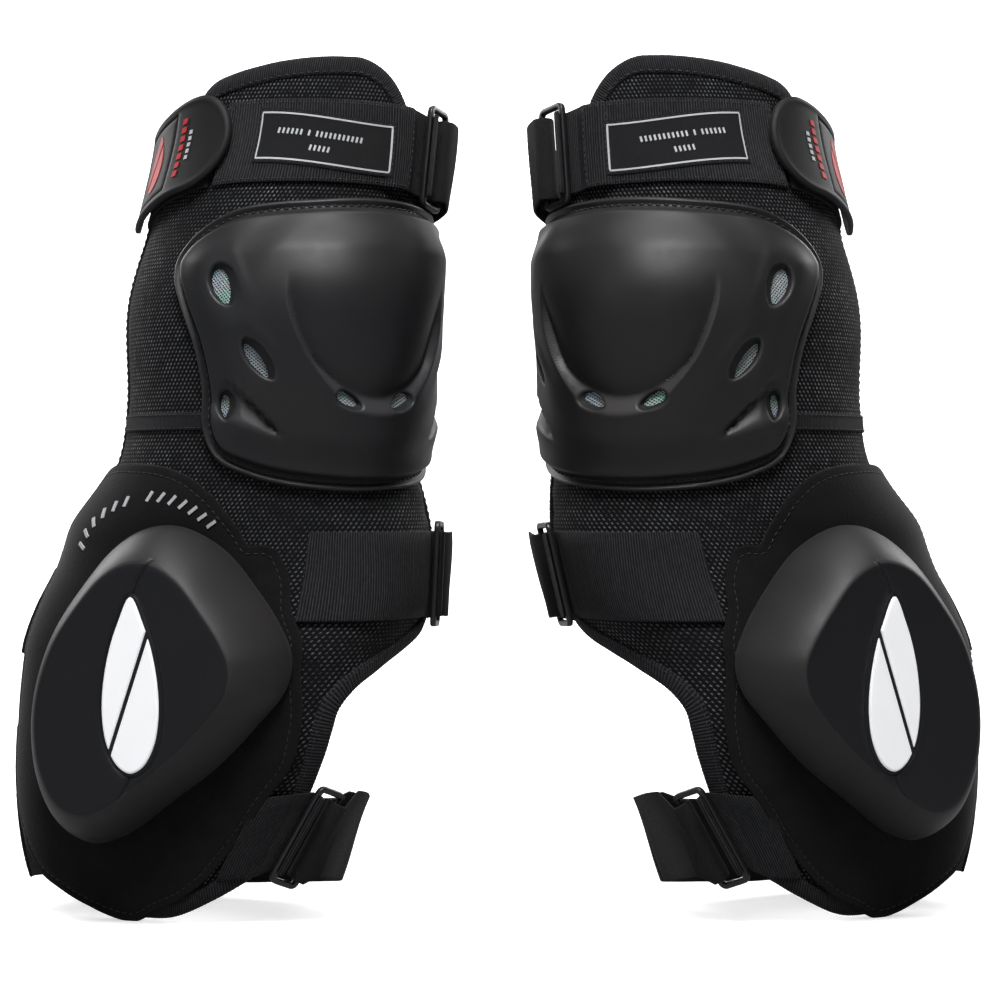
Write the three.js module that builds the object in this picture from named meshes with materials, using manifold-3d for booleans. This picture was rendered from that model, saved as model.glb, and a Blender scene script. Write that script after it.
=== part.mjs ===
// A pair of motorcycle knee guards, each with a bank-sensor knee slider.
// Millimetres, +Z up the leg, -Y towards the front. The left guard is built in its own frame: outer
// side at -x, z up from near the lower edge. The right guard is a mirror image on a slightly
// different leg, turned a little about its own upright axis. The pair stands centred on z = 0.
// Places on a guard are (phi, z, lift): phi is the direction round the leg in degrees from
// straight ahead, growing towards +x, and lift is the height above the leg form.
import * as THREE from "three";
import { mergeVertices } from "three/addons/utils/BufferGeometryUtils.js";
import Module from "manifold-3d";

const wasm = await Module();
wasm.setup();

const { clamp, lerp } = THREE.MathUtils;
const DEG = Math.PI / 180;

// ---------------------------------------------------------------- driving dimensions
const LEFT_X = -100.7;
const RIGHT_X = 100.5;
const RIGHT_YAW = 8; // degrees
const FRONT = 40; // direction of the knee cap
const FABRIC = 3.5; // spacer-mesh panel thickness
const THIGH_Z = 350.6; // heights of the two flex lines
const SHIN_Z = 203;
const FLEX_LIFT = 2;
const THIGH_WEDGE = 10; // degrees of room between the sections
const SHIN_FLEX = 10;
const THIGH_FLEX = 3; // degrees of travel of the thigh section
const SWING = 4; // degrees a strap ring swings
const UPPER_SWING_OUT = 1.5; // the upper ring's shorter travel one way
const WEB_T = 1.4; // webbing thickness
const ARC_R = 76; // radius that turns lengths round the leg into degrees

// Leg form: height, centre x, centre y, half width, half depth, squareness, turn of the section
const LEG = [
  [-10, -56, 4, 58, 40, 2.8, -24],
  [20, -57, 4, 70, 46, 3.0, -24],
  [55, -54, 3, 77, 51, 3.3, -24],
  [95, -43, 1, 87, 55, 3.6, -24],
  [130, -38, 0, 90, 57, 3.3, -24],
  [150, -32, 0, 91, 59, 2.8, -20],
  [170, -26, 0, 87, 60, 2.5, -14],
  [190, -22, 0, 83, 61, 2.3, -7],
  [220, -15, 0, 70, 62, 2.1, 0],
  [250, -13.5, 0, 66, 64, 2, 0],
  [300, -13, 0, 66, 64, 2, 0],
  [345, -4, 3, 63, 58, 2, 0],
  [380, 2, 7, 62, 52, 2, 0],
  [420, 4, 12, 61, 49, 2, 0],
];

// The right leg is shifted inwards and widened from the knee up, and part of that goes at the top
const LEG_RIGHT = LEG.map(([z, x, y, halfWidth, halfDepth, squareness, turn]) => {
  const knee = clamp((z - 130) / 90, 0, 1);
  const top = clamp((z - 320) / 40, 0, 1);
  const width = halfWidth + 5 * knee - 3 * top;
  return [z, x + 11 * knee - 4 * top, y, width, halfDepth, squareness, turn];
});

const MATERIAL = {
  spacerMesh: { color: 0x17181b, roughness: 0.95 },
  webbing: { color: 0x101113, roughness: 0.85 },
  velour: { color: 0x0b0b0d, roughness: 1 },
  shell: { color: 0x232528, roughness: 0.5 },
  foam: { color: 0x2a2a2c, roughness: 0.95 },
  plastic: { color: 0x1a1b1d, roughness: 0.4 },
  lining: { color: 0x121214, roughness: 0.95 },
  ventMesh: { color: 0x8f9499, roughness: 0.45, metalness: 0.2 },
  label: { color: 0x0d0d0f, roughness: 0.8 },
  tab: { color: 0x1c1c1e, roughness: 0.6 },
  slider: { color: 0x1e1f21, roughness: 0.45 },
  inlay: { color: 0xe8e9ea, roughness: 0.5 },
};

// ---------------------------------------------------------------- curves and places
// C1 cubic through rows [x, value, value, ...], held level past the ends
function interpolate(rows, x) {
  const end = rows.length - 1;
  if (x <= rows[0][0]) return rows[0].slice(1);
  if (x >= rows[end][0]) return rows[end].slice(1);
  let i = 0;
  while (rows[i + 1][0] < x) i++;
  const span = rows[i + 1][0] - rows[i][0];
  const t = (x - rows[i][0]) / span;
  const t2 = t * t;
  const t3 = t2 * t;
  return rows[i].slice(1).map((start, k) => {
    const column = k + 1;
    const slope = (j) => {
      const after = rows[Math.min(j + 1, end)];
      const before = rows[Math.max(j - 1, 0)];
      return (after[column] - before[column]) / (after[0] - before[0]);
    };
    return (2 * t3 - 3 * t2 + 1) * start + (t3 - 2 * t2 + t) * slope(i) * span
      + (-2 * t3 + 3 * t2) * rows[i + 1][column] + (t3 - t2) * slope(i + 1) * span;
  });
}
const curve = (rows) => (x) => interpolate(rows, x)[0];

// Smooth step from 0 at x = from to 1 at x = to
function ease(x, from, to) {
  const t = clamp((x - from) / (to - from), 0, 1);
  return t * t * (3 - 2 * t);
}

// count + 1 evenly spaced values
const steps = (from, to, count) =>
  Array.from({ length: count + 1 }, (_, i) => from + (to - from) * i / count);
const valueAt = (value, x) => (typeof value === "function" ? value(x) : value);
const arcDegrees = (length) => length / ARC_R / DEG;
const flatPoints = (pairs) => pairs.map(([x, y]) => new THREE.Vector2(x, y));

// Unit vectors out of the leg at a direction, and across it towards growing phi
const outward = (phi) => new THREE.Vector3(Math.sin(phi * DEG), -Math.cos(phi * DEG), 0);
const sideways = (phi) => new THREE.Vector3(Math.cos(phi * DEG), Math.sin(phi * DEG), 0);

// A leg is a function from (phi, z, lift) to a point; each section is a superellipse
const legSurface = (form) => (phi, z, lift) => {
  const [x, y, halfWidth, halfDepth, power, turn] = interpolate(form, z);
  const angle = (phi - turn) * DEG;
  const depthTerm = Math.pow(Math.abs(Math.cos(angle)) / (halfDepth + lift), power);
  const widthTerm = Math.pow(Math.abs(Math.sin(angle)) / (halfWidth + lift), power);
  const radius = Math.pow(depthTerm + widthTerm, -1 / power);
  return outward(phi).multiplyScalar(radius).add(new THREE.Vector3(x, y, z));
};

// ---------------------------------------------------------------- solids
const quad = (a, b, c, d) => [[a, b, c], [a, c, d]];

// Closed mesh, turned right side out if its volume comes out negative
function closedMesh(points, triangles) {
  let volume = 0;
  for (const [a, b, c] of triangles) {
    volume += points[a].dot(new THREE.Vector3().crossVectors(points[b], points[c]));
  }
  const geometry = new THREE.BufferGeometry().setFromPoints(points);
  geometry.setIndex(triangles.flatMap(([a, b, c]) => (volume > 0 ? [a, b, c] : [a, c, b])));
  geometry.computeVertexNormals();
  return geometry;
}

// A sheet on a grid: inner and outer are surfaces of (u, v) in 0..1
function sheet(nu, nv, inner, outer) {
  const points = [];
  for (const surface of [inner, outer]) {
    for (let i = 0; i <= nu; i++) {
      for (let j = 0; j <= nv; j++) points.push(surface(i / nu, j / nv));
    }
  }
  const id = (side, i, j) => (side * (nu + 1) + i) * (nv + 1) + j;
  const triangles = [];
  const face = (...corners) => triangles.push(...quad(...corners.map((corner) => id(...corner))));
  for (let i = 0; i < nu; i++) {
    for (let j = 0; j < nv; j++) {
      face([0, i, j], [0, i, j + 1], [0, i + 1, j + 1], [0, i + 1, j]);
      face([1, i, j], [1, i + 1, j], [1, i + 1, j + 1], [1, i, j + 1]);
    }
    face([0, i, 0], [0, i + 1, 0], [1, i + 1, 0], [1, i, 0]);
    face([0, i + 1, nv], [0, i, nv], [1, i, nv], [1, i + 1, nv]);
  }
  for (let j = 0; j < nv; j++) {
    face([0, 0, j + 1], [0, 0, j], [1, 0, j], [1, 0, j + 1]);
    face([0, nu, j], [0, nu, j + 1], [1, nu, j + 1], [1, nu, j]);
  }
  return closedMesh(points, triangles);
}

// A sheet between two lifts of place(u, v, lift)
const layer = (nu, nv, place, low, high) =>
  sheet(nu, nv, (u, v) => place(u, v, low), (u, v) => place(u, v, high));

const shrink = (outline, [centreX, centreY], factor) => outline.map(
  ([x, y]) => [centreX + (x - centreX) * factor, centreY + (y - centreY) * factor]);

// A disc on polar rings: ring fractions run from the centre out to the outline at 1, and
// inner and outer are surfaces of (across, z, fraction)
function disc(outline, centre, fractions, inner, outer) {
  const n = outline.length;
  const points = [];
  for (const surface of [inner, outer]) {
    points.push(surface(...centre, 0));
    for (const fraction of fractions) {
      const ring = shrink(outline, centre, fraction);
      points.push(...ring.map(([across, z]) => surface(across, z, fraction)));
    }
  }
  const middle = (side) => side * (1 + fractions.length * n);
  const id = (side, ring, i) => middle(side) + 1 + ring * n + (i % n);
  const triangles = [];
  const face = (...corners) => triangles.push(...quad(...corners.map((corner) => id(...corner))));
  const rim = fractions.length - 1;
  for (let i = 0; i < n; i++) {
    triangles.push([middle(0), id(0, 0, i + 1), id(0, 0, i)]);
    triangles.push([middle(1), id(1, 0, i), id(1, 0, i + 1)]);
    for (let r = 0; r < rim; r++) {
      face([0, r, i], [0, r, i + 1], [0, r + 1, i + 1], [0, r + 1, i]);
      face([1, r, i], [1, r + 1, i], [1, r + 1, i + 1], [1, r, i + 1]);
    }
    face([0, rim, i], [0, rim, i + 1], [1, rim, i + 1], [1, rim, i]);
  }
  return closedMesh(points, triangles);
}

// A closed profile carried through sections of equal length; flat is the profile in 2D, for caps
function loft(sections, flat) {
  const n = flat.length;
  const last = (sections.length - 1) * n;
  const triangles = [];
  for (let start = 0; start < last; start += n) {
    for (let i = 0; i < n; i++) {
      const a = start + i;
      const b = start + ((i + 1) % n);
      triangles.push(...quad(a, b, b + n, a + n));
    }
  }
  const anticlockwise = THREE.ShapeUtils.area(flat) > 0;
  for (const [a, b, c] of THREE.ShapeUtils.triangulateShape(flat, [])) {
    const [p, q] = anticlockwise ? [b, c] : [c, b];
    triangles.push([a, q, p], [last + a, last + p, last + q]);
  }
  return closedMesh(sections.flat(), triangles);
}

function toSolid(geometry) {
  const bare = geometry.clone();
  bare.deleteAttribute("normal");
  const merged = mergeVertices(bare, 1e-4);
  return new wasm.Manifold(new wasm.Mesh({
    numProp: 3,
    vertProperties: new Float32Array(merged.attributes.position.array),
    triVerts: new Uint32Array(merged.index.array),
  }));
}

function fromSolid(solid) {
  const mesh = solid.getMesh();
  const geometry = new THREE.BufferGeometry();
  const positions = new Float32Array(mesh.vertProperties);
  geometry.setAttribute("position", new THREE.BufferAttribute(positions, 3));
  geometry.setIndex(new THREE.BufferAttribute(new Uint32Array(mesh.triVerts), 1));
  geometry.computeVertexNormals();
  return geometry;
}

// ---------------------------------------------------------------- webbing, bindings and rings
// Corners of a flat section, [up, out] in halves of its width and thickness
const CORNERS = [[-1, -1], [-1, 1], [1, 1], [1, -1]];
const SQUARE = flatPoints([[0, 0], [1, 0], [1, 1], [0, 1]]);

// Point u along the line across the webbing at a station {phi, lift, z, lean}; a positive lean
// (degrees) carries the upper edge towards growing phi
const acrossWeb = (leg, { phi, lift, z, lean }, u, shift = 0, raise = 0) => leg(
  phi + arcDegrees(shift + u * Math.sin(lean * DEG)), z + u * Math.cos(lean * DEG), lift + raise);

function webLine(leg, station, width) {
  const low = acrossWeb(leg, station, -width / 2);
  const high = acrossWeb(leg, station, width / 2);
  return { low, high, middle: low.clone().add(high).multiplyScalar(0.5) };
}

// Stations round the leg; lift, z and lean are numbers or functions of phi
const run = ({ from, to, count, lift, z, lean = 0 }) => steps(from, to, count).map((phi) => (
  { phi, lift: valueAt(lift, phi), z: valueAt(z, phi), lean: valueAt(lean, phi) }));

// Webbing through stations on the leg and frames {centre, normal, up} about a ring's bar
function webbing(leg, path, width, thickness = WEB_T) {
  const sections = path.map((station, i) => {
    if (station.centre) {
      return CORNERS.map(([up, out]) => station.centre.clone()
        .addScaledVector(station.normal, out * thickness / 2)
        .addScaledVector(station.up, up * width / 2));
    }
    const onLeg = (other) => (other && !other.centre ? other : station);
    const before = onLeg(path[i - 1]);
    const after = onLeg(path[i + 1]);
    const along = (after.phi - before.phi) * DEG * ARC_R;
    const rise = after.lift - before.lift;
    const half = thickness / 2 / Math.hypot(along, rise);
    return CORNERS.map(([up, out]) =>
      acrossWeb(leg, station, up * width / 2, -out * rise * half, out * along * half));
  });
  return loft(sections, SQUARE);
}

// Fold-over edge binding: profile is [across the edge, lift], place(station, across, lift)
const BINDING = flatPoints([
  [-7, 5.4], [2, 5.4], [2, -2.2], [-7, -2.2], [-7, -1], [0.8, -1], [0.8, 4.3], [-7, 4.3],
]);
const binding = (stations, place) =>
  loft(stations.map((station) => BINDING.map(({ x, y }) => place(station, x, y))), BINDING);

const RING = { bar: 3.2, thickness: 3, clearance: 4, cornerCut: 2.5, holeCut: 0.6 };

// Rectangle with cut corners
function cutRectangle(path, x0, x1, halfHeight, cut) {
  const h = halfHeight;
  return path.setFromPoints(flatPoints([
    [x0 + cut, -h], [x1 - cut, -h], [x1, -h + cut], [x1, h - cut],
    [x1 - cut, h], [x0 + cut, h], [x0, h - cut], [x0, -h + cut],
  ])).closePath();
}

// Strap loop: moulded rectangle with a keeper bar and a free bar, in its own square frame
function strapRing(leg, { width, z, lean, keeper, free }) {
  const keeperLine = webLine(leg, { ...keeper, z, lean }, width);
  const up = keeperLine.high.clone().sub(keeperLine.low).normalize();
  const across = webLine(leg, { ...free, z, lean }, width).middle.sub(keeperLine.middle);
  across.addScaledVector(up, -across.dot(up));
  const arm = across.length();
  across.normalize();
  const out = new THREE.Vector3().crossVectors(across, up).normalize();

  const half = RING.bar / 2;
  const holeHalf = (width + RING.clearance) / 2;
  const shape = cutRectangle(
    new THREE.Shape(), -half, arm + half, holeHalf + RING.bar, RING.cornerCut);
  shape.holes.push(cutRectangle(new THREE.Path(), half, arm - half, holeHalf, RING.holeCut));
  const extruded = new THREE.ExtrudeGeometry(
    shape, { depth: RING.thickness, bevelEnabled: false, curveSegments: 1 });
  extruded.deleteAttribute("normal");
  extruded.deleteAttribute("uv");
  const geometry = mergeVertices(extruded, 1e-4);
  geometry.translate(0, 0, -RING.thickness / 2);
  geometry.applyMatrix4(new THREE.Matrix4().makeBasis(across, up, out));
  geometry.translate(...keeperLine.middle.toArray());
  geometry.computeVertexNormals();
  const freeBar = keeperLine.middle.clone().addScaledVector(across, arm);
  return { geometry, keeper: keeperLine.middle, free: freeBar, across, out, up, width };
}

// Frames for webbing turning about a bar; angles go from the ring's across direction to its out
function aroundBar(ring, bar, { radius, from, to }) {
  return steps(from, to, 6).map((degrees) => {
    const direction = ring.across.clone().multiplyScalar(Math.cos(degrees * DEG))
      .addScaledVector(ring.out, Math.sin(degrees * DEG));
    const centre = bar.clone().addScaledVector(direction, radius);
    return { centre, normal: direction.multiplyScalar(to > from ? -1 : 1), up: ring.up };
  });
}
const BAND_TURN = { radius: 3.35, from: -90, to: 110 };
const STRAP_TURN = { radius: 4.9, from: 270, to: 90 };

// Sewn band that ends round the keeper bar
const ringBand = (leg, ring, start) =>
  webbing(leg, [...run(start), ...aroundBar(ring, ring.keeper, BAND_TURN)], ring.width);
// Strap that turns back through the ring about its free bar
const ringStrap = (leg, ring, start, back) => webbing(
  leg, [...run(start), ...aroundBar(ring, ring.free, STRAP_TURN), ...run(back)], ring.width);

// Centre-line heights of the three straps: phi, z
const wrap = (phi) => ((phi % 360) + 540) % 360 - 180;
const upperCurve = curve([
  [-180, 352], [-130, 354], [-90, 359], [-60, 368], [-35, 374.5], [0, 376], [40, 375.5],
  [62, 373.5], [90, 367], [130, 357], [180, 352],
]);
const upperZ = (phi) => upperCurve(wrap(phi));
const MID_RING_Z = 168;
const midZ = curve([
  [-300, MID_RING_Z], [-264, MID_RING_Z], [-235, 156], [-205, 141], [-165, 134], [-130, 138],
  [-88, 150], [-60, 152],
]);
const lowerCurve = curve([
  [-340, 43], [-330, 44.5], [-313, 46], [-301, 44], [-274, 37], [-245, 32], [-200, 29],
  [-150, 31], [-110, 36], [-80, 39],
]);
const lowerZ = (phi) => lowerCurve(phi > 0 ? phi - 360 : phi);
const LOWER_LEAN = 16;
const lowerLean = (phi) => LOWER_LEAN * ease(phi, -240, -280);

// Rings by webbing width, height, lean and the places of their two bars
const RINGS = {
  upper: {
    width: 41, z: upperZ(68), lean: 0,
    keeper: { phi: 68, lift: 8.3 }, free: { phi: 81, lift: 10 },
  },
  mid: {
    width: 42, z: MID_RING_Z, lean: 0,
    keeper: { phi: 83, lift: 8.6 }, free: { phi: 95, lift: 10.6 },
  },
  lower: {
    width: 42, z: lowerZ(42), lean: LOWER_LEAN,
    keeper: { phi: 42, lift: 8.7 }, free: { phi: 53, lift: 10.6 },
  },
};
// Separate strap ends that peel
const MID_END = { from: -234.5, to: -197, count: 6, lift: 9, z: midZ };
const LOWER_END = { from: -272, to: -230, count: 7, lift: 8.4, z: lowerZ, lean: lowerLean };

const piece = (name, body, material, geometry) => ({ name, body, material, geometry });

// ---------------------------------------------------------------- knee section
const KNEE_PHI = [-92, 108];
const BINDING_INSET = 1.5; // from the panel's corners
const PAD_HALF = 50; // degrees
const PAD_Z = [226, 328];
const VENT_MESH_SCALE = 0.83;
const VENT_MESH_DROP = 3.5; // below the cup's inner surface
const VENT_MESH_T = 0.7;

// Upper and lower edges, cut back behind the flex lines to leave the sections room
const behind = (leg, phi, z) =>
  Math.max(0, leg(FRONT, z, FLEX_LIFT).sub(leg(phi, z, 0)).dot(outward(FRONT)));
const kneeTop = (leg, phi) => THIGH_Z - 1.6 - behind(leg, phi, 335) * Math.tan(THIGH_WEDGE * DEG);
const kneeBottom = (leg, phi) => SHIN_Z + 1 + behind(leg, phi, 206) * Math.tan(SHIN_FLEX * DEG);

function kneePanel(leg) {
  const place = (u, v, lift) => {
    const phi = lerp(...KNEE_PHI, u);
    return leg(phi, lerp(kneeBottom(leg, phi), kneeTop(leg, phi), Math.pow(v, 1.4)), lift);
  };
  return layer(22, 5, place, 0, FABRIC);
}

function kneeEdgeBinding(leg) {
  const phi = KNEE_PHI[0];
  const heights = steps(kneeBottom(leg, phi) + BINDING_INSET, kneeTop(leg, phi) - BINDING_INSET, 5);
  return binding(heights, (z, across, lift) => leg(phi - arcDegrees(across), z, lift));
}

const padPlace = (leg) => (u, v, lift) =>
  leg(lerp(FRONT - PAD_HALF, FRONT + PAD_HALF, u), lerp(...PAD_Z, v), lift);

// Moves a point along the front direction into the flat seat of the lining
function ontoSeat(leg, point) {
  const front = outward(FRONT);
  const seatDistance = leg(FRONT - 12.5, 277, -11.8).dot(front);
  return point.addScaledVector(front, seatDistance - point.dot(front));
}

// Lining with a flat seat in the middle of its inner face
function kneeLining(leg) {
  const place = padPlace(leg);
  const inner = (u, v) => {
    const point = place(u, v, -11);
    return u > 0.3 && u < 0.7 && v > 0.2 && v < 0.8 ? ontoSeat(leg, point) : point;
  };
  return sheet(8, 4, inner, (u, v) => place(u, v, -9.5));
}

// Half outline of the cup: degrees at CUP_R from the front direction, height
const CUP_HALF = [
  [0, 348], [14, 347.6], [28, 346.6], [43, 345.2], [57, 342.4], [67.5, 336.5], [75, 328],
  [78.5, 318], [77, 308], [72.6, 297], [66, 278], [62.7, 257], [62, 236], [56, 223], [42, 215],
  [28, 211], [13, 208.8], [0, 208],
];
const CUP_R = 75;
const CUP_CENTRE = [0, 272];
const CUP_BASE = 5; // lift of the flange
const CUP_T = 2.6;
const SHOULDER = { rise: 9.5, start: 0.93, end: 0.69 }; // start and end as outline fractions
const CROWN = { rise: 14.5, z: 306, halfWidth: 46, above: 46, below: 58, power: 0.7 };
const cupHalf = CUP_HALF.map(([degrees, z]) => [degrees * DEG * CUP_R, z]);
const CUP_OUTLINE = [
  ...cupHalf, ...cupHalf.slice(1, -1).reverse().map(([across, z]) => [-across, z]),
];
// Vents, each with a mirror twin: across, height, half width, half height, lean in degrees
const VENTS = [
  [-70, 305, 5.5, 9.8, 24],
  [-51.5, 270, 4.4, 10.6, 30],
  [-67, 248, 4, 6.6, 6],
  [-13.7, 253.5, 6.6, 4, -22],
];
const VENT_CUT = [3, 40]; // lifts the cutters run between
const VENT_ANGLES = steps(0, 2 * Math.PI, 8).slice(0, 8);
const VENT_FLAT = VENT_ANGLES.map((t) => new THREE.Vector2(Math.cos(t), Math.sin(t)));

const cupPoint = (leg, across, z, lift) => leg(FRONT + across / CUP_R / DEG, z, lift);

// Lift of the cup's inner surface: flange, shoulder, then a domed crown
function cupLift(across, z, fraction) {
  const reach = z > CROWN.z ? CROWN.above : CROWN.below;
  const dome = clamp(1 - (across / CROWN.halfWidth) ** 2 - ((z - CROWN.z) / reach) ** 2, 0, 1);
  const shoulder = SHOULDER.rise * ease(fraction, SHOULDER.start, SHOULDER.end);
  return CUP_BASE + shoulder + CROWN.rise * Math.pow(dome, CROWN.power);
}

function ventCutter(leg, side, [across, z, halfWidth, halfHeight, lean]) {
  const cos = Math.cos(lean * DEG);
  const sin = Math.sin(lean * DEG);
  const sections = VENT_CUT.map((lift) => VENT_ANGLES.map((t) => {
    const u = halfWidth * Math.cos(t);
    const v = halfHeight * Math.sin(t);
    return cupPoint(leg, side * (across + u * cos - v * sin), z + u * sin + v * cos, lift);
  }));
  return toSolid(loft(sections, VENT_FLAT));
}

function kneeCup(leg) {
  const surface = (offset) => (across, z, fraction) =>
    cupPoint(leg, across, z, cupLift(across, z, fraction) + offset);
  const fractions = [0.25, 0.45, 0.62, 0.78, 0.9, 1];
  let cup = toSolid(disc(CUP_OUTLINE, CUP_CENTRE, fractions, surface(0), surface(CUP_T)));
  for (const vent of VENTS) {
    for (const side of [1, -1]) cup = cup.subtract(ventCutter(leg, side, vent));
  }
  return fromSolid(cup);
}

// Mesh lying just under the cup
function ventMesh(leg) {
  const surface = (offset) => (across, z, fraction) =>
    cupPoint(leg, across, z, cupLift(across, z, fraction * VENT_MESH_SCALE) + offset);
  return disc(shrink(CUP_OUTLINE, CUP_CENTRE, VENT_MESH_SCALE), CUP_CENTRE, [0.35, 0.62, 0.82, 1],
    surface(-VENT_MESH_DROP), surface(VENT_MESH_T - VENT_MESH_DROP));
}

const kneeSection = (leg) => [
  piece("knee_panel", "knee", "spacerMesh", kneePanel(leg)),
  piece("knee_edge_binding", "knee", "webbing", kneeEdgeBinding(leg)),
  piece("comfort_pad", "knee", "foam", layer(8, 4, padPlace(leg), -9, -1.5)),
  piece("knee_lining", "knee", "lining", kneeLining(leg)),
  piece("vent_mesh", "knee", "ventMesh", ventMesh(leg)),
  piece("knee_cup", "knee", "shell", kneeCup(leg)),
];

// ---------------------------------------------------------------- thigh section and closing tab
const THIGH_PHI = [-49, 54];
// Top edge: phi, z
const thighTop = curve([
  [-50, 401.5], [-44, 405], [-35, 408], [-22, 411], [-9, 413.4], [10, 415.5], [24, 416],
  [31, 416], [38, 414], [45, 409.5], [50, 405], [55, 400],
]);
const TAB_STATIONS = [-89, -80, -71, -62, -54, -47, -41, -36, -32, -29.8, -29];
const TAB = { lift: 10.1, halfThickness: 1.5, halfWidth: 23.5, roundFrom: -47, roundLength: 18.2 };
const tabZ = curve([[-89, 358.5], [-70, 367], [-50, 375], [-29, 377.5]]);

function thighPanel(leg) {
  const place = (u, v, lift) => {
    const phi = lerp(...THIGH_PHI, u);
    return leg(phi, lerp(THIGH_Z + 1.4, thighTop(phi), v), lift);
  };
  return layer(14, 2, place, 0, FABRIC);
}

const topBinding = (leg) => binding(steps(...THIGH_PHI, 13),
  (phi, across, lift) => leg(phi, thighTop(phi) + across, lift));

// Band that lifts over a short length before the ring
const labelBand = (leg, ring) => ringBand(leg, ring, {
  from: -34, to: 62, count: 16, z: upperZ,
  lift: (phi) => 5.2 + 2.2 * ease(phi, 44, 50) * (1 - ease(phi, 56, 62)),
});

const label = (leg) => webbing(leg, run({
  from: -17.5, to: 47.5, count: 9,
  lift: (phi) => 7.1 + 2.2 * ease(phi, 44, 50),
  z: (phi) => 378.3 - 5.5 * ease(phi, -15, 47),
}), 26.4, 0.7);

const upperStrap = (leg, ring) => ringStrap(leg, ring,
  { from: -36.5, to: -269, count: 26, lift: 5.6, z: upperZ },
  {
    from: -276, to: -244, count: 5, z: upperZ,
    lift: (phi) => 14.6 - 6.4 * ease(phi, -276, -246),
  });

// Plate that rounds off to a D at its front end
function closingTab(leg) {
  const sections = TAB_STATIONS.map((phi) => {
    const round = clamp((phi - TAB.roundFrom) / TAB.roundLength, 0, 1);
    const half = TAB.halfWidth * Math.sqrt(clamp(1 - round ** 2, 0.01, 1));
    return CORNERS.map(([up, out]) =>
      leg(phi, tabZ(phi) + up * half, TAB.lift + out * TAB.halfThickness));
  });
  return loft(sections, SQUARE);
}

const tabHookPad = (leg) =>
  webbing(leg, run({ from: -66, to: -41, count: 5, lift: 7.5, z: tabZ }), 34, 1.2);

const thighSection = (leg, ring) => [
  piece("thigh_panel", "thigh", "spacerMesh", thighPanel(leg)),
  piece("top_binding", "thigh", "webbing", topBinding(leg)),
  piece("label_band", "thigh", "webbing", labelBand(leg, ring)),
  piece("label", "thigh", "label", label(leg)),
  piece("upper_strap", "thigh", "webbing", upperStrap(leg, ring)),
  piece("upper_ring", "upper_ring", "plastic", ring.geometry),
  piece("tab", "tab", "tab", closingTab(leg)),
  piece("tab_hook_pad", "tab", "velour", tabHookPad(leg)),
];

// ---------------------------------------------------------------- shin section
// Outlines by rows: height, phi of the outer edge, phi of the inner edge
const SHIN_EDGE = [
  [6, -40, 3], [12, -58, 16], [24, -76, 33], [38, -84, 40], [61, -91, 45], [81, -93, 43],
  [100, -93, 41.5], [110, -93, 43], [117, -93, 50], [124, -93, 60], [132, -93, 73],
  [140, -93, 85], [150, -93, 91], [170, -93, 94], [188, -93, 97], [202, -93, 99],
];
const PATCH_EDGE = [
  [1.5, -32, -22], [8, -53, -7], [15, -65, 6], [24, -76, 15.5], [43, -84, 25], [60, -88, 29.5],
  [78, -88, 33.5], [94, -88, 32.5], [110, -88, 31.5], [128, -88, 30], [139, -88, 28.6],
  [152, -88, 24.6], [166, -88, 21.4], [177, -87, 17], [183, -86, 8], [190, -85, -1],
  [197, -84, -7.6], [208, -82, -17], [216, -78, -28], [220.5, -70, -42],
];
const SHIN_PAD_EDGE = [34, 60, 90, 120, 150, 184].map((z) => [z, -66, 30]);
const SHIN_BINDING_Z = [72, 81, 90, 100, 108];

// Sheet on rows of an outline, its columns crowded towards both edges
function rowSheet(leg, rows, nu, base, thickness) {
  const nv = rows.length - 1;
  const place = (u, v, offset) => {
    const [z, from, to] = rows[Math.round(v * nv)];
    const t = u - Math.sin(2 * Math.PI * u) / 12;
    return leg(lerp(from, to, t), z, valueAt(base, z) + offset);
  };
  return layer(nu, nv, place, 0, thickness);
}

// Along part of the inner edge
const shinBinding = (leg) => binding(SHIN_BINDING_Z, (z, across, lift) =>
  leg(interpolate(SHIN_EDGE, z)[1] + arcDegrees(across), z, lift));

// Velour patch, lifting towards its top
const sliderPatch = (leg) =>
  rowSheet(leg, PATCH_EDGE, 11, (z) => 4.6 + 1.7 * ease(z, 180, 198), 1.6);

const midBand = (leg, ring) => ringBand(leg, ring, {
  from: 28, to: 77, count: 10, z: MID_RING_Z,
  lift: (phi) => 5.6 + 0.9 * ease(phi, 40, 55) * (1 - ease(phi, 71, 79)),
});

const midStrap = (leg, ring) => ringStrap(leg, ring,
  {
    from: -90, to: -255, count: 24, z: midZ,
    lift: (phi) => 6.6 + 0.7 * ease(phi, -235, -247),
  },
  {
    from: -262, to: -236, count: 4, z: midZ,
    lift: (phi) => 15.4 - 6.4 * ease(phi, -262, -238),
  });

const lowerBand = (leg, ring) =>
  ringBand(leg, ring, { from: 29, to: 37, count: 3, lift: 6, z: lowerZ, lean: LOWER_LEAN });

const lowerStrap = (leg, ring) => ringStrap(leg, ring,
  { from: -88, to: -296, count: 30, lift: 6, z: lowerZ, lean: lowerLean },
  {
    from: -303, to: -273, count: 5, z: lowerZ, lean: lowerLean,
    lift: (phi) => 15.9 - 7.5 * ease(phi, -303, -277),
  });

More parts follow.
